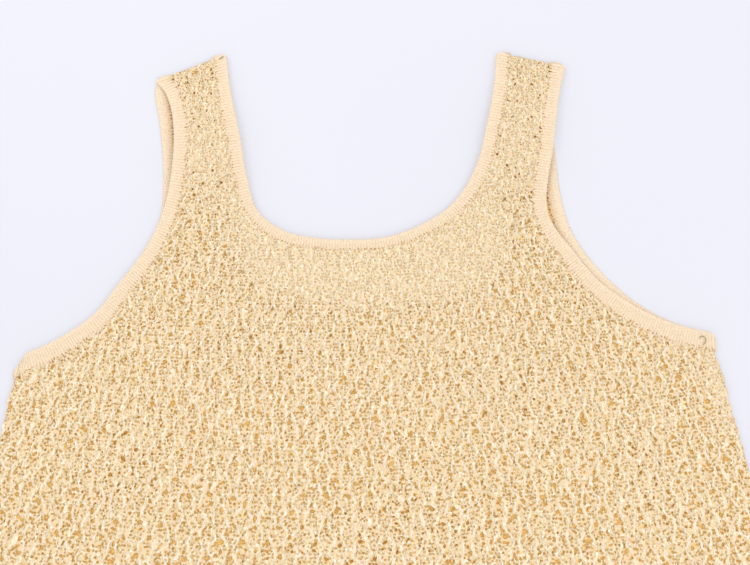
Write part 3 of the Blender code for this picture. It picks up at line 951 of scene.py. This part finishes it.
BAND_SECTION = (
    RimPoint(0.00, 0.00, 0.00, 0.6),
    RimPoint(0.00, 0.16, 0.62, 0.8),
    RimPoint(0.00, 0.80, 0.96, 0.9),
    RimPoint(0.00, 1.90, 1.02, 1.0),
    RimPoint(0.00, 3.00, 0.92, 1.1),
    RimPoint(0.50, 0.00, 0.84, 1.2),
    RimPoint(0.75, 0.00, 0.80, 1.3),
    RimPoint(1.00, -0.90, 0.70, 1.4),
    RimPoint(1.00, 0.00, 0.26, 1.2),
    RimPoint(1.00, 0.00, -0.42, 0.5),
    RimPoint(1.00, -0.90, -0.84, 0.8),
    RimPoint(0.50, 0.00, -0.82, 0.8),
    RimPoint(0.00, 1.20, -0.92, 0.7),
    RimPoint(0.00, 0.16, -0.62, 0.5),
)


@dataclass
class BandRing:
    """A closed ring of plain knit: along the upper layer, round a fold, back along the lower layer
    and round a fold. Its section is swept along it, with a rib for each wale."""

    name: str
    node: str
    slot: str
    upper_outer: Array
    upper_inner: Array
    lower_outer: Array
    lower_inner: Array
    corners: tuple[float, float] = (0.0, 0.0)  # radii at the ends of the upper edge
    threads: tuple[ThreadRows, ...] = ()
    stations_a_wale: int = 5
    rib: float = 0.00016
    outer_scallop: float = 0.00028  # how far the ribs stand out along the outer edge
    inner_scallop: float = 0.00045
    radius: float = FOLD_RADIUS - CLOTH / 2
    cloth_top: float = 0.0010  # of the band above its middle

    def knots(self) -> tuple[Array, Array, Array, Array]:
        """The ring's course: outer and inner line, way out from the fold, and angle round it."""
        turns = np.linspace(0.0, math.pi, 9)
        outers, inners, ways, angles = [], [], [], []
        for end, order in ((-1, 1), (0, -1)):
            outer, inner = self.upper_outer[end], self.upper_inner[end]
            along = unit(inner - outer)
            way = np.array([-along[1], along[0]])
            middle = self.upper_outer[len(self.upper_outer) // 2]
            if way @ (outer - middle) < 0.0:
                way = -way
            flat_outer = self.upper_outer if end else self.lower_outer
            flat_inner = self.upper_inner if end else self.lower_inner
            outers += [flat_outer[::order], np.tile(outer, (7, 1))]
            inners += [flat_inner[::order], np.tile(inner, (7, 1))]
            ways += [np.tile(way, (len(flat_outer) + 7, 1))]
            start = 0.0 if end else math.pi
            angles += [np.full(len(flat_outer), start), turns[1:-1] if end else turns[-2:0:-1]]
        return tuple(np.concatenate(part) for part in (outers, inners, ways, angles))

    def course(self) -> dict[str, Array]:
        """Evenly spaced stations round the ring, a whole number of wales in all."""
        outer, inner, way, angle = self.knots()
        middle = (outer + inner) / 2
        height = self.radius * np.cos(angle)
        place = np.column_stack([middle + way * (self.radius * np.sin(angle))[:, None], height])
        place = np.concatenate([place, place[:1]])
        steps = np.linalg.norm(np.diff(place, axis=0), axis=1)
        length = np.concatenate([[0.0], np.cumsum(steps)])
        wales = round(length[-1] / WALE)
        at = np.linspace(0.0, length[-1], wales * self.stations_a_wale, endpoint=False)
        table = np.column_stack([outer, inner, way, angle])
        table = np.concatenate([table, table[:1]])
        rows = sampled(at, length, table)
        return {
            "outer": rows[:, 0:2],
            "inner": rows[:, 2:4],
            "way": unit(rows[:, 4:6]),
            "angle": rows[:, 6],
            "wale": np.arange(len(at)) / self.stations_a_wale,
            "wales": np.array([wales]),
        }

    def rounding(self, course: dict[str, Array]) -> Array:
        """How far the outer edge draws in at each station, to round the corners at the folds.

        Within one radius r it is r - sqrt(r^2 - (r - d)^2), with d the distance from the fold's
        outermost line.
        """
        stations = np.arange(len(course["angle"]))
        turning = np.flatnonzero((course["angle"] > 0.0) & (course["angle"] < math.pi))
        half = turning[len(turning) // 2]
        drawn = np.zeros(len(stations))
        for ring_part, radius in zip((turning >= half, turning < half), self.corners):
            if radius > 0.0:
                gap = np.abs(stations[:, None] - turning[ring_part][None])
                gap = np.minimum(gap, len(stations) - gap).min(axis=1)
                past = FOLD_RADIUS * np.sin(course["angle"])
                away = gap * WALE / self.stations_a_wale + FOLD_RADIUS - past
                away = np.clip(away, 0.0, radius)
                drawn += radius - np.sqrt(radius**2 - (radius - away) ** 2)
        return drawn

    def thread(self, rows: ThreadRows) -> Mesh:
        """A bit of loose yarn lying on the band: a tube that tapers at both ends.

        Args:
            rows: its course, as places in millimetres and heights above the band's top.

        Returns:
            The tube, in the band's own marks, with the thread mark at 1.
        """
        line = np.array(rows, float)
        line[:, :2] = to_metres([row[:2] for row in rows])
        line[:, 2] *= MM
        fine = np.linspace(0, len(line) - 1, 4 * len(line))
        line = sampled(fine, np.arange(len(line)), line)
        line[:, 2] += MID_HEIGHT + self.radius + self.cloth_top + swell_height(line)
        way = unit(np.gradient(line, axis=0))
        side = unit(np.cross(way, [0.0, 0.0, 1.0]))
        rise = np.cross(side, way)
        along = np.linspace(-1.0, 1.0, len(line))
        taper = THREAD_RADIUS * np.sqrt(np.clip(1.0 - along**8, 0, 1))
        turns = np.linspace(0.0, TURN, THREAD_SIDES, endpoint=False)
        circle = np.cos(turns)[:, None] * side[:, None] + np.sin(turns)[:, None] * rise[:, None]
        points = (line[:, None] + circle * taper[:, None, None]).reshape(-1, 3)
        ring, corner = np.meshgrid(np.arange(len(line) - 1), np.arange(THREAD_SIDES), indexing="ij")
        here, after = ring * THREAD_SIDES, (ring + 1) * THREAD_SIDES
        beside = (corner + 1) % THREAD_SIDES
        faces = np.stack([here + corner, after + corner, after + beside, here + beside], axis=-1)
        faces = faces.reshape(-1, 4)
        empty = np.zeros(len(points))
        marks = {"across": empty, "valley": empty, "under": empty, "thread": empty + 1.0}
        return Mesh(points, faces, points[faces][..., :2], marks)

    def surface(self) -> Mesh:
        """The swept section.

        A point of the section stands at its place across the band, and at the band's radius plus
        its height and rib from the fold's axis. The rib is a cosine of the wale count. The bottom
        is held at the floor.
        """
        course = self.course()
        width = np.linalg.norm(course["inner"] - course["outer"], axis=1)
        over = (course["inner"] - course["outer"]) / width[:, None]
        drawn = self.rounding(course)
        outer = course["outer"] + over * drawn[:, None]
        width = (width - drawn)[:, None]
        share, inset, height, rib = np.array(BAND_SECTION).T
        inset, height = inset * MM, height * MM
        wave = np.cos(TURN * course["wale"])[:, None]
        across = share * width + inset
        across = across - self.outer_scallop * wave * (share + inset == 0.0)
        across = across + self.inner_scallop * wave * (share == 1.0)
        lift = height + np.sign(height) * rib * self.rib * (wave - 0.4)
        base = outer[:, None] + over[:, None] * across[..., None]
        angle = course["angle"][:, None]
        reach = self.radius + lift
        place = base + course["way"][:, None] * (reach * np.sin(angle))[..., None]
        level = MID_HEIGHT + reach * np.cos(angle)
        raised = swell_height(base.reshape(-1, 2)).reshape(level.shape)
        level = level + raised * np.clip(np.cos(angle), 0.0, 1.0)
        points = np.concatenate([place, np.maximum(level, 0.0)[..., None]], axis=-1)

        count, sides = level.shape
        ring, corner = np.meshgrid(np.arange(count), np.arange(sides), indexing="ij")
        here, after = ring * sides, (ring + 1) % count * sides
        beside = (corner + 1) % sides
        faces = np.stack([here + corner, here + beside, after + beside, after + corner], axis=-1)
        along = np.stack([ring, ring, ring + 1, ring + 1], axis=-1) / self.stations_a_wale * WALE
        corners = np.stack([corner, beside, beside, corner], axis=-1)
        uv = np.stack([across[ring[..., None], corners], along], axis=-1).reshape(-1, 4, 2)
        inner_mark = np.clip(across / width, 0.0, 1.0)
        # The valley and under marks carry painted shade: the valleys between the wales, and the
        # ring's faces that lie under the upper layer.
        valley = np.broadcast_to((0.5 - 0.5 * wave) * rib, level.shape)
        marks = {
            "across": inner_mark.ravel(),
            "valley": valley.ravel(),
            "under": (inner_mark * (height < 0.0)).ravel(),
            "thread": np.zeros(valley.size),
        }
        whole = Mesh(points.reshape(-1, 3), faces.reshape(-1, 4), uv, marks)
        for rows in self.threads:
            whole = whole.joined(self.thread(rows))
        return whole

    def build(self, material: bpy.types.Material) -> bpy.types.Object:
        """Makes the ring, hides its solid and logs its cut size. It is narrower than a sheet
        may be, so its panel's sheet names it.
        """
        course = self.course()
        made = self.surface().build(self.name, material)
        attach(made, "root")
        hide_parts(self.node)
        length = float(course["wales"][0]) * WALE
        width = float(np.linalg.norm(course["inner"] - course["outer"], axis=1).mean())
        log.info("%s: cut %.4f x %.4f m", self.name, width, length)
        return made


class Nodes:
    """A node tree with short ways to add and join nodes."""

    def __init__(self, tree: bpy.types.NodeTree) -> None:
        """Keeps the tree."""
        self.tree = tree

    def add(self, kind: str, values: dict | None = None, **settings: object) -> bpy.types.Node:
        """Adds a node.

        Args:
            kind: the node's type name.
            values: for an input's name or number, the socket that feeds it or its value.
            **settings: the node's own settings.

        Returns:
            The node.
        """
        node = self.tree.nodes.new(kind)
        for name, value in settings.items():
            setattr(node, name, value)
        for name, value in (values or {}).items():
            if isinstance(value, bpy.types.NodeSocket):
                self.tree.links.new(value, node.inputs[name])
            else:
                node.inputs[name].default_value = value
        return node

    def math(self, operation: str, first: object, second: object = 0.0) -> bpy.types.NodeSocket:
        """The outcome of a Math node."""
        node = self.add("ShaderNodeMath", {0: first, 1: second}, operation=operation)
        return node.outputs[0]

    def plus(self, first: object, second: object) -> bpy.types.NodeSocket:
        """The sum of two values."""
        return self.math("ADD", first, second)

    def minus(self, first: object, second: object) -> bpy.types.NodeSocket:
        """The first value less the second."""
        return self.math("SUBTRACT", first, second)

    def times(self, first: object, second: object) -> bpy.types.NodeSocket:
        """The product of two values."""
        return self.math("MULTIPLY", first, second)

    def mark(self, name: str) -> bpy.types.NodeSocket:
        """A value that the piece's points carry."""
        return self.add("ShaderNodeAttribute", attribute_name=name).outputs["Fac"]

    def mix(self, factor: object, first: object, second: object) -> bpy.types.NodeSocket:
        """A mix of two colours."""
        node = self.add("ShaderNodeMix", {0: factor, 6: first, 7: second}, data_type="RGBA")
        return node.outputs[2]

    def ramp(self, factor: object, low: float, high: float) -> bpy.types.NodeSocket:
        """Smooth rise from 0 at low to 1 at high."""
        values = {0: factor, 1: low, 2: high, 3: 0.0, 4: 1.0}
        node = self.add("ShaderNodeMapRange", values, interpolation_type="SMOOTHSTEP")
        return node.outputs[0]


def shader_group(name: str, inputs: dict[str, str], outputs: dict[str, str]) -> tuple:
    """A new shader node group with named sockets.

    Args:
        name: the group's name.
        inputs: for each input's name, its socket type.
        outputs: for each output's name, its socket type.

    Returns:
        The group, its nodes helper, its input node and its output node.
    """
    tree = bpy.data.node_groups.new(name, "ShaderNodeTree")
    for label, kind in inputs.items():
        tree.interface.new_socket(name=label, in_out="INPUT", socket_type=kind)
    for label, kind in outputs.items():
        tree.interface.new_socket(name=label, in_out="OUTPUT", socket_type=kind)
    nodes = Nodes(tree)
    return tree, nodes, nodes.add("NodeGroupInput"), nodes.add("NodeGroupOutput")


def yarn_strokes() -> bpy.types.NodeTree:
    """Short strokes of yarn along the pattern's second axis, and the specks between them. The
    materials paint the specks as shade in the small gaps and the strokes as highlight.
    """
    tree, nodes, source, target = shader_group(
        "yarn_strokes",
        {
            "Vector": "NodeSocketVector",
            "Width": "NodeSocketFloat",
            "Length": "NodeSocketFloat",
            "Pitch": "NodeSocketFloat",
        },
        {"Stroke": "NodeSocketFloat", "Speck": "NodeSocketFloat", "Hue": "NodeSocketFloat"},
    )
    vector, length = source.outputs["Vector"], source.outputs["Length"]
    across = nodes.math("DIVIDE", 1.0, source.outputs["Width"])
    along = nodes.math("DIVIDE", 1.0, length)
    scale = nodes.add("ShaderNodeCombineXYZ", {0: across, 1: along, 2: 1.0}).outputs[0]
    bends = nodes.add("ShaderNodeTexNoise", {"Vector": vector, "Scale": 170.0})
    drift = nodes.times(nodes.minus(bends.outputs[0], 0.5), nodes.times(length, 1.6))
    drift = nodes.add("ShaderNodeCombineXYZ", {0: drift}).outputs[0]
    bent = nodes.add("ShaderNodeVectorMath", {0: vector, 1: drift}).outputs[0]
    spread = nodes.add("ShaderNodeVectorMath", {0: bent, 1: scale}, operation="MULTIPLY").outputs[0]
    noise = nodes.add(
        "ShaderNodeTexNoise", {"Vector": spread, "Scale": 1.0, "Detail": 2.0, "Roughness": 0.55}
    )
    even = nodes.math("DIVIDE", 1.0, source.outputs["Pitch"])
    even_scale = nodes.add("ShaderNodeCombineXYZ", {0: even, 1: even, 2: 1.0}).outputs[0]
    grid = nodes.add("ShaderNodeVectorMath", {0: bent, 1: even_scale}, operation="MULTIPLY")
    cells = nodes.add(
        "ShaderNodeTexVoronoi",
        {"Vector": grid.outputs[0], "Scale": 1.0, "Randomness": 0.8},
        voronoi_dimensions="2D",
    )
    strength = nodes.ramp(cells.outputs["Color"], 0.0, 0.6)
    speck = nodes.times(nodes.ramp(cells.outputs["Distance"], 0.44, 0.14), strength)
    slow = nodes.add("ShaderNodeTexNoise", {"Vector": spread, "Scale": 0.7, "Detail": 1.0})
    nodes.tree.links.new(nodes.ramp(noise.outputs[0], 0.44, 0.62), target.inputs["Stroke"])
    nodes.tree.links.new(speck, target.inputs["Speck"])
    nodes.tree.links.new(nodes.ramp(slow.outputs[0], 0.38, 0.62), target.inputs["Hue"])
    return tree


def yarn_fuzz() -> bpy.types.NodeTree:
    """Fine loose fibres on the yarn, as a height and a mask from 0 to 1."""
    tree, nodes, source, target = shader_group(
        "yarn_fuzz",
        {"Vector": "NodeSocketVector", "Scale": "NodeSocketFloat"},
        {"Fibre": "NodeSocketFloat"},
    )
    noise = nodes.add(
        "ShaderNodeTexNoise",
        {
            "Vector": source.outputs["Vector"],
            "Scale": source.outputs["Scale"],
            "Detail": 3.0,
            "Roughness": 0.65,
        },
    )
    nodes.tree.links.new(noise.outputs[0], target.inputs["Fibre"])
    return tree


Colour = tuple[float, float, float, float]


@dataclass(frozen=True)
class YarnFinish:
    """Matt cotton-like yarn: pale where it stands up, with painted shade, golden to brown, where it
    lies deep.
    """

    name: str
    pale: Colour
    warm: Colour
    golden: Colour
    deep: Colour
    stroke_width: float
    stroke_length: float
    speck_pitch: float
    bump: float
    roughness: float = 0.86
    sheen: float = 0.05
    fuzz_scale: float = 2600.0

    def shader(self, nodes: Nodes) -> bpy.types.Node:
        """The shader, with all that is the same over the whole surface set on its own sockets."""
        return nodes.add(
            "ShaderNodeBsdfPrincipled",
            {
                "Metallic": 0.0,
                "IOR": 1.45,
                "Specular IOR Level": 0.15,
                "Sheen Weight": self.sheen,
                "Sheen Roughness": 0.55,
                "Sheen Tint": (1.0, 0.93, 0.82, 1.0),
            },
        )

    def tree(self) -> tuple[bpy.types.Material, Nodes]:
        """A new material with an empty node tree."""
        material = bpy.data.materials.new(self.name)
        material.use_nodes = True
        material.node_tree.nodes.clear()
        return material, Nodes(material.node_tree)

    def finish(
        self, nodes: Nodes, colour: object, rough: object, height: object
    ) -> bpy.types.Node:
        """Feeds the shader and the output, and gives the shader back."""
        shader = self.shader(nodes)
        bump = nodes.add(
            "ShaderNodeBump", {"Strength": 1.0, "Distance": self.bump, "Height": height}
        )
        nodes.tree.links.new(colour, shader.inputs["Base Color"])
        nodes.tree.links.new(rough, shader.inputs["Roughness"])
        nodes.tree.links.new(bump.outputs[0], shader.inputs["Normal"])
        nodes.add("ShaderNodeOutputMaterial", {"Surface": shader.outputs[0]})
        return shader

    def yarn(self, nodes: Nodes, groups: dict[str, bpy.types.NodeTree]) -> tuple:
        """The strokes and fibres of the yarn along the piece's stitch map."""
        uv = nodes.add("ShaderNodeUVMap", uv_map="stitch").outputs[0]
        strokes = nodes.add("ShaderNodeGroup", node_tree=groups["strokes"])
        nodes.tree.links.new(uv, strokes.inputs["Vector"])
        strokes.inputs["Width"].default_value = self.stroke_width
        strokes.inputs["Length"].default_value = self.stroke_length
        strokes.inputs["Pitch"].default_value = self.speck_pitch
        fuzz = nodes.add("ShaderNodeGroup", node_tree=groups["fuzz"])
        nodes.tree.links.new(uv, fuzz.inputs["Vector"])
        fuzz.inputs["Scale"].default_value = self.fuzz_scale
        return strokes, fuzz


@dataclass(frozen=True)
class OpenworkFinish(YarnFinish):
    """The finish of the openwork panels.

    The side that faces into the garment gets a deeper colour, painted shade, and a painted glow
    that stands in for the light that comes through the cloth, so the holes look golden. The crests
    of the ridges and the strokes of yarn carry a painted highlight.
    """

    # Painted highlight of crests and strokes; painted shade and painted glow of the inward side.
    painted_highlight: Colour = (1.0, 0.91, 0.74, 1.0)
    inside: Colour = (0.80, 0.51, 0.17, 1.0)
    glow: Colour = (0.110, 0.062, 0.014, 1.0)

    def material(self, groups: dict[str, bpy.types.NodeTree]) -> bpy.types.Material:
        """The material: its colour goes from pale to deep with painted shade in the hollows and
        specks, and takes painted highlights on the crests and strokes.
        """
        material, nodes = self.tree()
        strokes, fuzz = self.yarn(nodes, groups)
        stroke, fibre = strokes.outputs["Stroke"], fuzz.outputs[0]
        ridge = nodes.mark("ridge")
        # Specks are painted shade in the small gaps of the mesh, fewer on the ridges.
        low = nodes.minus(1.0, nodes.times(nodes.ramp(ridge, 0.05, 0.5), 0.88))
        speck = nodes.times(strokes.outputs["Speck"], low)
        # Painted shade in the hollows and round the holes, varied at random by the fibres.
        tone_and_shade = nodes.plus(nodes.mark("cavity_shade"), nodes.times(nodes.minus(fibre, 0.5), 0.7))
        # Painted highlight on the crests of the ridges and on the strokes of yarn.
        streaked = nodes.plus(nodes.times(stroke, 0.55), 0.45)
        crest_highlight = nodes.times(nodes.ramp(ridge, 0.12, 0.55), streaked)
        crest_highlight = nodes.math("MAXIMUM", crest_highlight, nodes.times(stroke, 0.55))
        light = nodes.mix(strokes.outputs["Hue"], self.pale, self.warm)
        colour = nodes.mix(nodes.ramp(tone_and_shade, 0.10, 0.85), light, self.golden)
        colour = nodes.mix(crest_highlight, colour, self.painted_highlight)
        colour = nodes.mix(nodes.times(speck, 0.85), colour, self.deep)
        # Painted shade: the inward side takes the deeper colour of the dim space between the
        # layers.
        back = nodes.add("ShaderNodeNewGeometry").outputs["Backfacing"]
        colour = nodes.mix(back, colour, self.inside)
        rough = nodes.plus(nodes.times(stroke, -0.10), self.roughness)
        height = nodes.plus(stroke, nodes.times(fibre, 0.35))
        height = nodes.minus(height, nodes.times(speck, 1.2))
        shader = self.finish(nodes, colour, rough, height)
        # Painted glow on the inward side, standing in for light that comes through the cloth.
        glow = nodes.mix(back, (0.0, 0.0, 0.0, 1.0), self.glow)
        nodes.tree.links.new(glow, shader.inputs["Emission Color"])
        shader.inputs["Emission Strength"].default_value = 1.0
        return material


@dataclass(frozen=True)
class BandFinish(YarnFinish):
    """The finish of the plain-knit bands, and of the bits of loose yarn on them."""

    loose: Colour = (0.42, 0.36, 0.20, 1.0)

    def material(self, groups: dict[str, bpy.types.NodeTree]) -> bpy.types.Material:
        """The material, with painted shade: warm lines between the wales, a row of small dark gaps
        at the seam, and the faces under the upper layer. The strokes carry a faint painted
        highlight.
        """
        material, nodes = self.tree()
        strokes, fuzz = self.yarn(nodes, groups)
        stroke, fibre = strokes.outputs["Stroke"], fuzz.outputs[0]
        across = nodes.mark("across")
        inner = nodes.ramp(across, -0.20, 0.30)
        # Painted shade in the valleys between the wales and in the gaps at the seam.
        line = nodes.times(nodes.ramp(nodes.mark("valley"), 0.45, 1.0), inner)
        seam = nodes.times(nodes.ramp(across, 0.72, 0.92), strokes.outputs["Speck"])
        tone_and_shade = nodes.plus(nodes.times(line, 0.27), nodes.times(seam, 0.95))
        # Painted shade on the faces under the upper layer.
        tone_and_shade = nodes.plus(tone_and_shade, nodes.times(nodes.ramp(nodes.mark("under"), 0.2, 0.9), 0.30))
        # Painted highlight on the strokes and painted shade in the specks; the fibres vary at
        # random.
        tone_and_shade = nodes.plus(tone_and_shade, nodes.times(stroke, -0.12))
        tone_and_shade = nodes.plus(tone_and_shade, nodes.times(strokes.outputs["Speck"], 0.14))
        tone_and_shade = nodes.plus(tone_and_shade, nodes.times(nodes.minus(fibre, 0.5), 0.35))
        light = nodes.mix(strokes.outputs["Hue"], self.pale, self.warm)
        colour = nodes.mix(nodes.ramp(tone_and_shade, 0.0, 0.6), light, self.golden)
        colour = nodes.mix(nodes.ramp(tone_and_shade, 0.6, 1.0), colour, self.deep)
        colour = nodes.mix(nodes.mark("thread"), colour, self.loose)
        rough = nodes.plus(nodes.times(stroke, -0.08), self.roughness)
        height = nodes.plus(stroke, nodes.times(fibre, 0.35))
        self.finish(nodes, colour, rough, height)
        return material


@dataclass(frozen=True)
class FloorFinish:
    """A smooth pale table top with the faintest mottling, lit a little from below."""

    name: str
    light: Colour
    shade: Colour
    glow: Colour

    def material(self) -> bpy.types.Material:
        """The material."""
        material = bpy.data.materials.new(self.name)
        material.use_nodes = True
        material.node_tree.nodes.clear()
        nodes = Nodes(material.node_tree)
        place = nodes.add("ShaderNodeTexCoord").outputs["Object"]
        noise = nodes.add("ShaderNodeTexNoise", {"Vector": place, "Scale": 3.0, "Detail": 1.0})
        colour = nodes.mix(nodes.ramp(noise.outputs[0], 0.3, 0.7), self.light, self.shade)
        shader = nodes.add("ShaderNodeBsdfPrincipled", {"Base Color": colour, "Roughness": 0.75})
        shader.inputs["Specular IOR Level"].default_value = 0.2
        shader.inputs["Emission Color"].default_value = self.glow
        shader.inputs["Emission Strength"].default_value = 1.0
        nodes.add("ShaderNodeOutputMaterial", {"Surface": shader.outputs[0]})
        return material


@dataclass
class Studio:
    """The pale floor, the soft lights and the camera straight above the chest."""

    frame_width: float = 0.47025
    middle: tuple[float, float] = (0.00627, 0.15027)
    camera_height: float = 1.60
    sensor: float = 36.0
    floor_size: float = 8.0
    aim: tuple[float, float, float] = (0.0, 0.1, 0.0)  # of the lights

    def floor(self) -> bpy.types.Object:
        """The floor, a plane just touching the garment's underside."""
        light, shade = (0.375, 0.377, 0.410, 1.0), (0.365, 0.367, 0.400, 1.0)
        finish = FloorFinish("floor", light, shade, glow=(0.400, 0.400, 0.435, 1.0))
        half = self.floor_size / 2
        corners = np.array([(-half, -half), (half, -half), (half, half), (-half, half)])
        mesh = bpy.data.meshes.new("floor")
        mesh.from_pydata(np.column_stack([corners, np.zeros(4)]).tolist(), [], [(0, 1, 2, 3)])
        mesh.materials.append(finish.material())
        made = bpy.data.objects.new("floor", mesh)
        bpy.context.scene.collection.objects.link(made)
        return made

    def light(
        self, name: str, place: tuple[float, float, float], size: float, power: float
    ) -> None:
        """A square soft light at a place, turned to the chest."""
        lamp = bpy.data.lights.new(name, "AREA")
        lamp.size = size
        lamp.energy = power
        made = bpy.data.objects.new(name, lamp)
        made.location = place
        way = np.array(self.aim) - np.array(place)
        made.rotation_euler = (
            math.atan2(math.hypot(way[0], way[1]), -way[2]),
            0.0,
            math.atan2(way[0], -way[1]),
        )
        bpy.context.scene.collection.objects.link(made)

    def camera(self) -> None:
        """The camera, square above the middle of the photo's frame."""
        lens = bpy.data.cameras.new("camera")
        lens.sensor_fit = "HORIZONTAL"
        lens.sensor_width = self.sensor
        lens.lens = self.sensor * self.camera_height / self.frame_width
        made = bpy.data.objects.new("camera", lens)
        made.location = (*self.middle, self.camera_height + CLOTH_TOP)
        bpy.context.scene.collection.objects.link(made)
        bpy.context.scene.camera = made

    def build(self) -> None:
        """Makes the floor, the lights, the world and the camera."""
        scene = bpy.context.scene
        scene.view_settings.view_transform = "Standard"
        world = bpy.data.worlds.new("studio")
        world.use_nodes = True
        background = world.node_tree.nodes["Background"]
        background.inputs["Color"].default_value = (1.0, 1.0, 1.0, 1.0)
        background.inputs["Strength"].default_value = 1.0
        scene.world = world
        self.floor()
        self.light("key", (-0.9, 1.2, 1.7), size=1.5, power=36.0)
        self.light("fill", (1.1, -0.3, 1.8), size=2.0, power=15.0)
        self.camera()


@dataclass
class Vest:
    """The garment: both panels and the four bands."""

    pattern: Pattern = field(default_factory=Pattern)

    def panels(self, knit: bpy.types.Material) -> None:
        """Makes the upper panel in five pieces and the lower one in one.

        The upper one has a finer grid down to just below the photo's edge, at FINE_TO chart rows.
        """
        fine = np.arange(-16 * 26, round(FINE_TO * 26)) / 26
        coarse = FINE_TO + np.arange(0, 13 * 16 + 1) / 16
        front = KnitPanel(
            self.pattern,
            Layer.UPPER,
            "front_panel",
            "openwork_knit",
            (
                Piece("front_knit_left", -15, -4.5, -16, FINE_TO, ("armhole_binding_left",)),
                Piece("front_knit_middle", -4.5, 5.5, -16, FINE_TO, ("neck_binding",)),
                Piece("front_knit_right", 5.5, 21, -16, FINE_TO, ("armhole_binding_right",)),
                Piece("front_knit_lower_left", -15, 0.5, FINE_TO, 20, ("hem_binding",)),
                Piece("front_knit_lower_right", 0.5, 21, FINE_TO, 20),
            ),
            rows=np.concatenate([fine, coarse]),
            columns_a_repeat=20,
            seed=11,
        )
        back = KnitPanel(
            self.pattern,
            Layer.LOWER,
            "back_panel",
            "openwork_knit",
            (Piece("back_knit", -15, 21, -16, 20),),
            rows=np.arange(-16 * 10, 195) / 10,
            columns_a_repeat=8,
            seed=23,
            sheet_radius=0.00045,
            openness=0.8,
            shift=(0.27, 0.1),
        )
        back.build(knit)
        front.build(knit)

    def bands(self, plain: bpy.types.Material) -> None:
        """Makes the bands of the neck, the armholes and the hem."""
        arms = self.pattern.arm_left, self.pattern.arm_right
        edges = (
            ("neck_binding", "neck_band", self.pattern.neck, (0.0035, 0.005), (LOOSE_END,)),
            ("armhole_binding_left", "armhole_band_left", arms[0], (0.0025, 0.008), ()),
            ("armhole_binding_right", "armhole_band_right", arms[1], (0.0035, 0.004), (LOOP,)),
        )
        for name, node, edge, corners, threads in edges:
            upper, lower = edge[Layer.UPPER], edge[Layer.LOWER]
            lines = upper.points[:, :2], upper.inner(), lower.points[:, :2], lower.inner()
            BandRing(name, node, "band_knit", *lines, corners, threads).build(plain)
        outer = hem_line(*self.pattern.hem_ends(0.0))
        inner = hem_line(*self.pattern.hem_ends(HEM_BAND))
        hem = BandRing("hem_binding", "hem_band", "band_knit", outer, inner, outer, inner)
        hem.stations_a_wale = 3
        hem.build(plain)

    def build(self) -> None:
        """Makes the whole garment."""
        groups = {"strokes": yarn_strokes(), "fuzz": yarn_fuzz()}
        knit = OpenworkFinish(
            "openwork_yarn",
            pale=(0.82, 0.67, 0.40, 1.0),
            warm=(0.88, 0.65, 0.43, 1.0),
            # Golden and deep are the colours of painted shade.
            golden=(0.82, 0.52, 0.18, 1.0),
            deep=(0.62, 0.33, 0.05, 1.0),
            stroke_width=0.0011,
            stroke_length=0.0030,
            speck_pitch=0.0020,
            bump=0.00042,
        )
        plain = BandFinish(
            "band_yarn",
            pale=(0.85, 0.71, 0.53, 1.0),
            warm=(0.87, 0.70, 0.52, 1.0),
            # Golden and deep are the colours of painted shade.
            golden=(0.72, 0.49, 0.26, 1.0),
            deep=(0.45, 0.26, 0.09, 1.0),
            stroke_width=0.0010,
            stroke_length=0.0010,
            speck_pitch=0.0019,
            bump=0.00020,
        )
        self.bands(plain.material(groups))
        self.panels(knit.material(groups))


def main() -> None:
    """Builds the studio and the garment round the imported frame."""
    logging.basicConfig(level=logging.INFO, format="%(message)s")
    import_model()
    Studio().build()
    Vest().build()


if __name__ == "__main__":
    main()
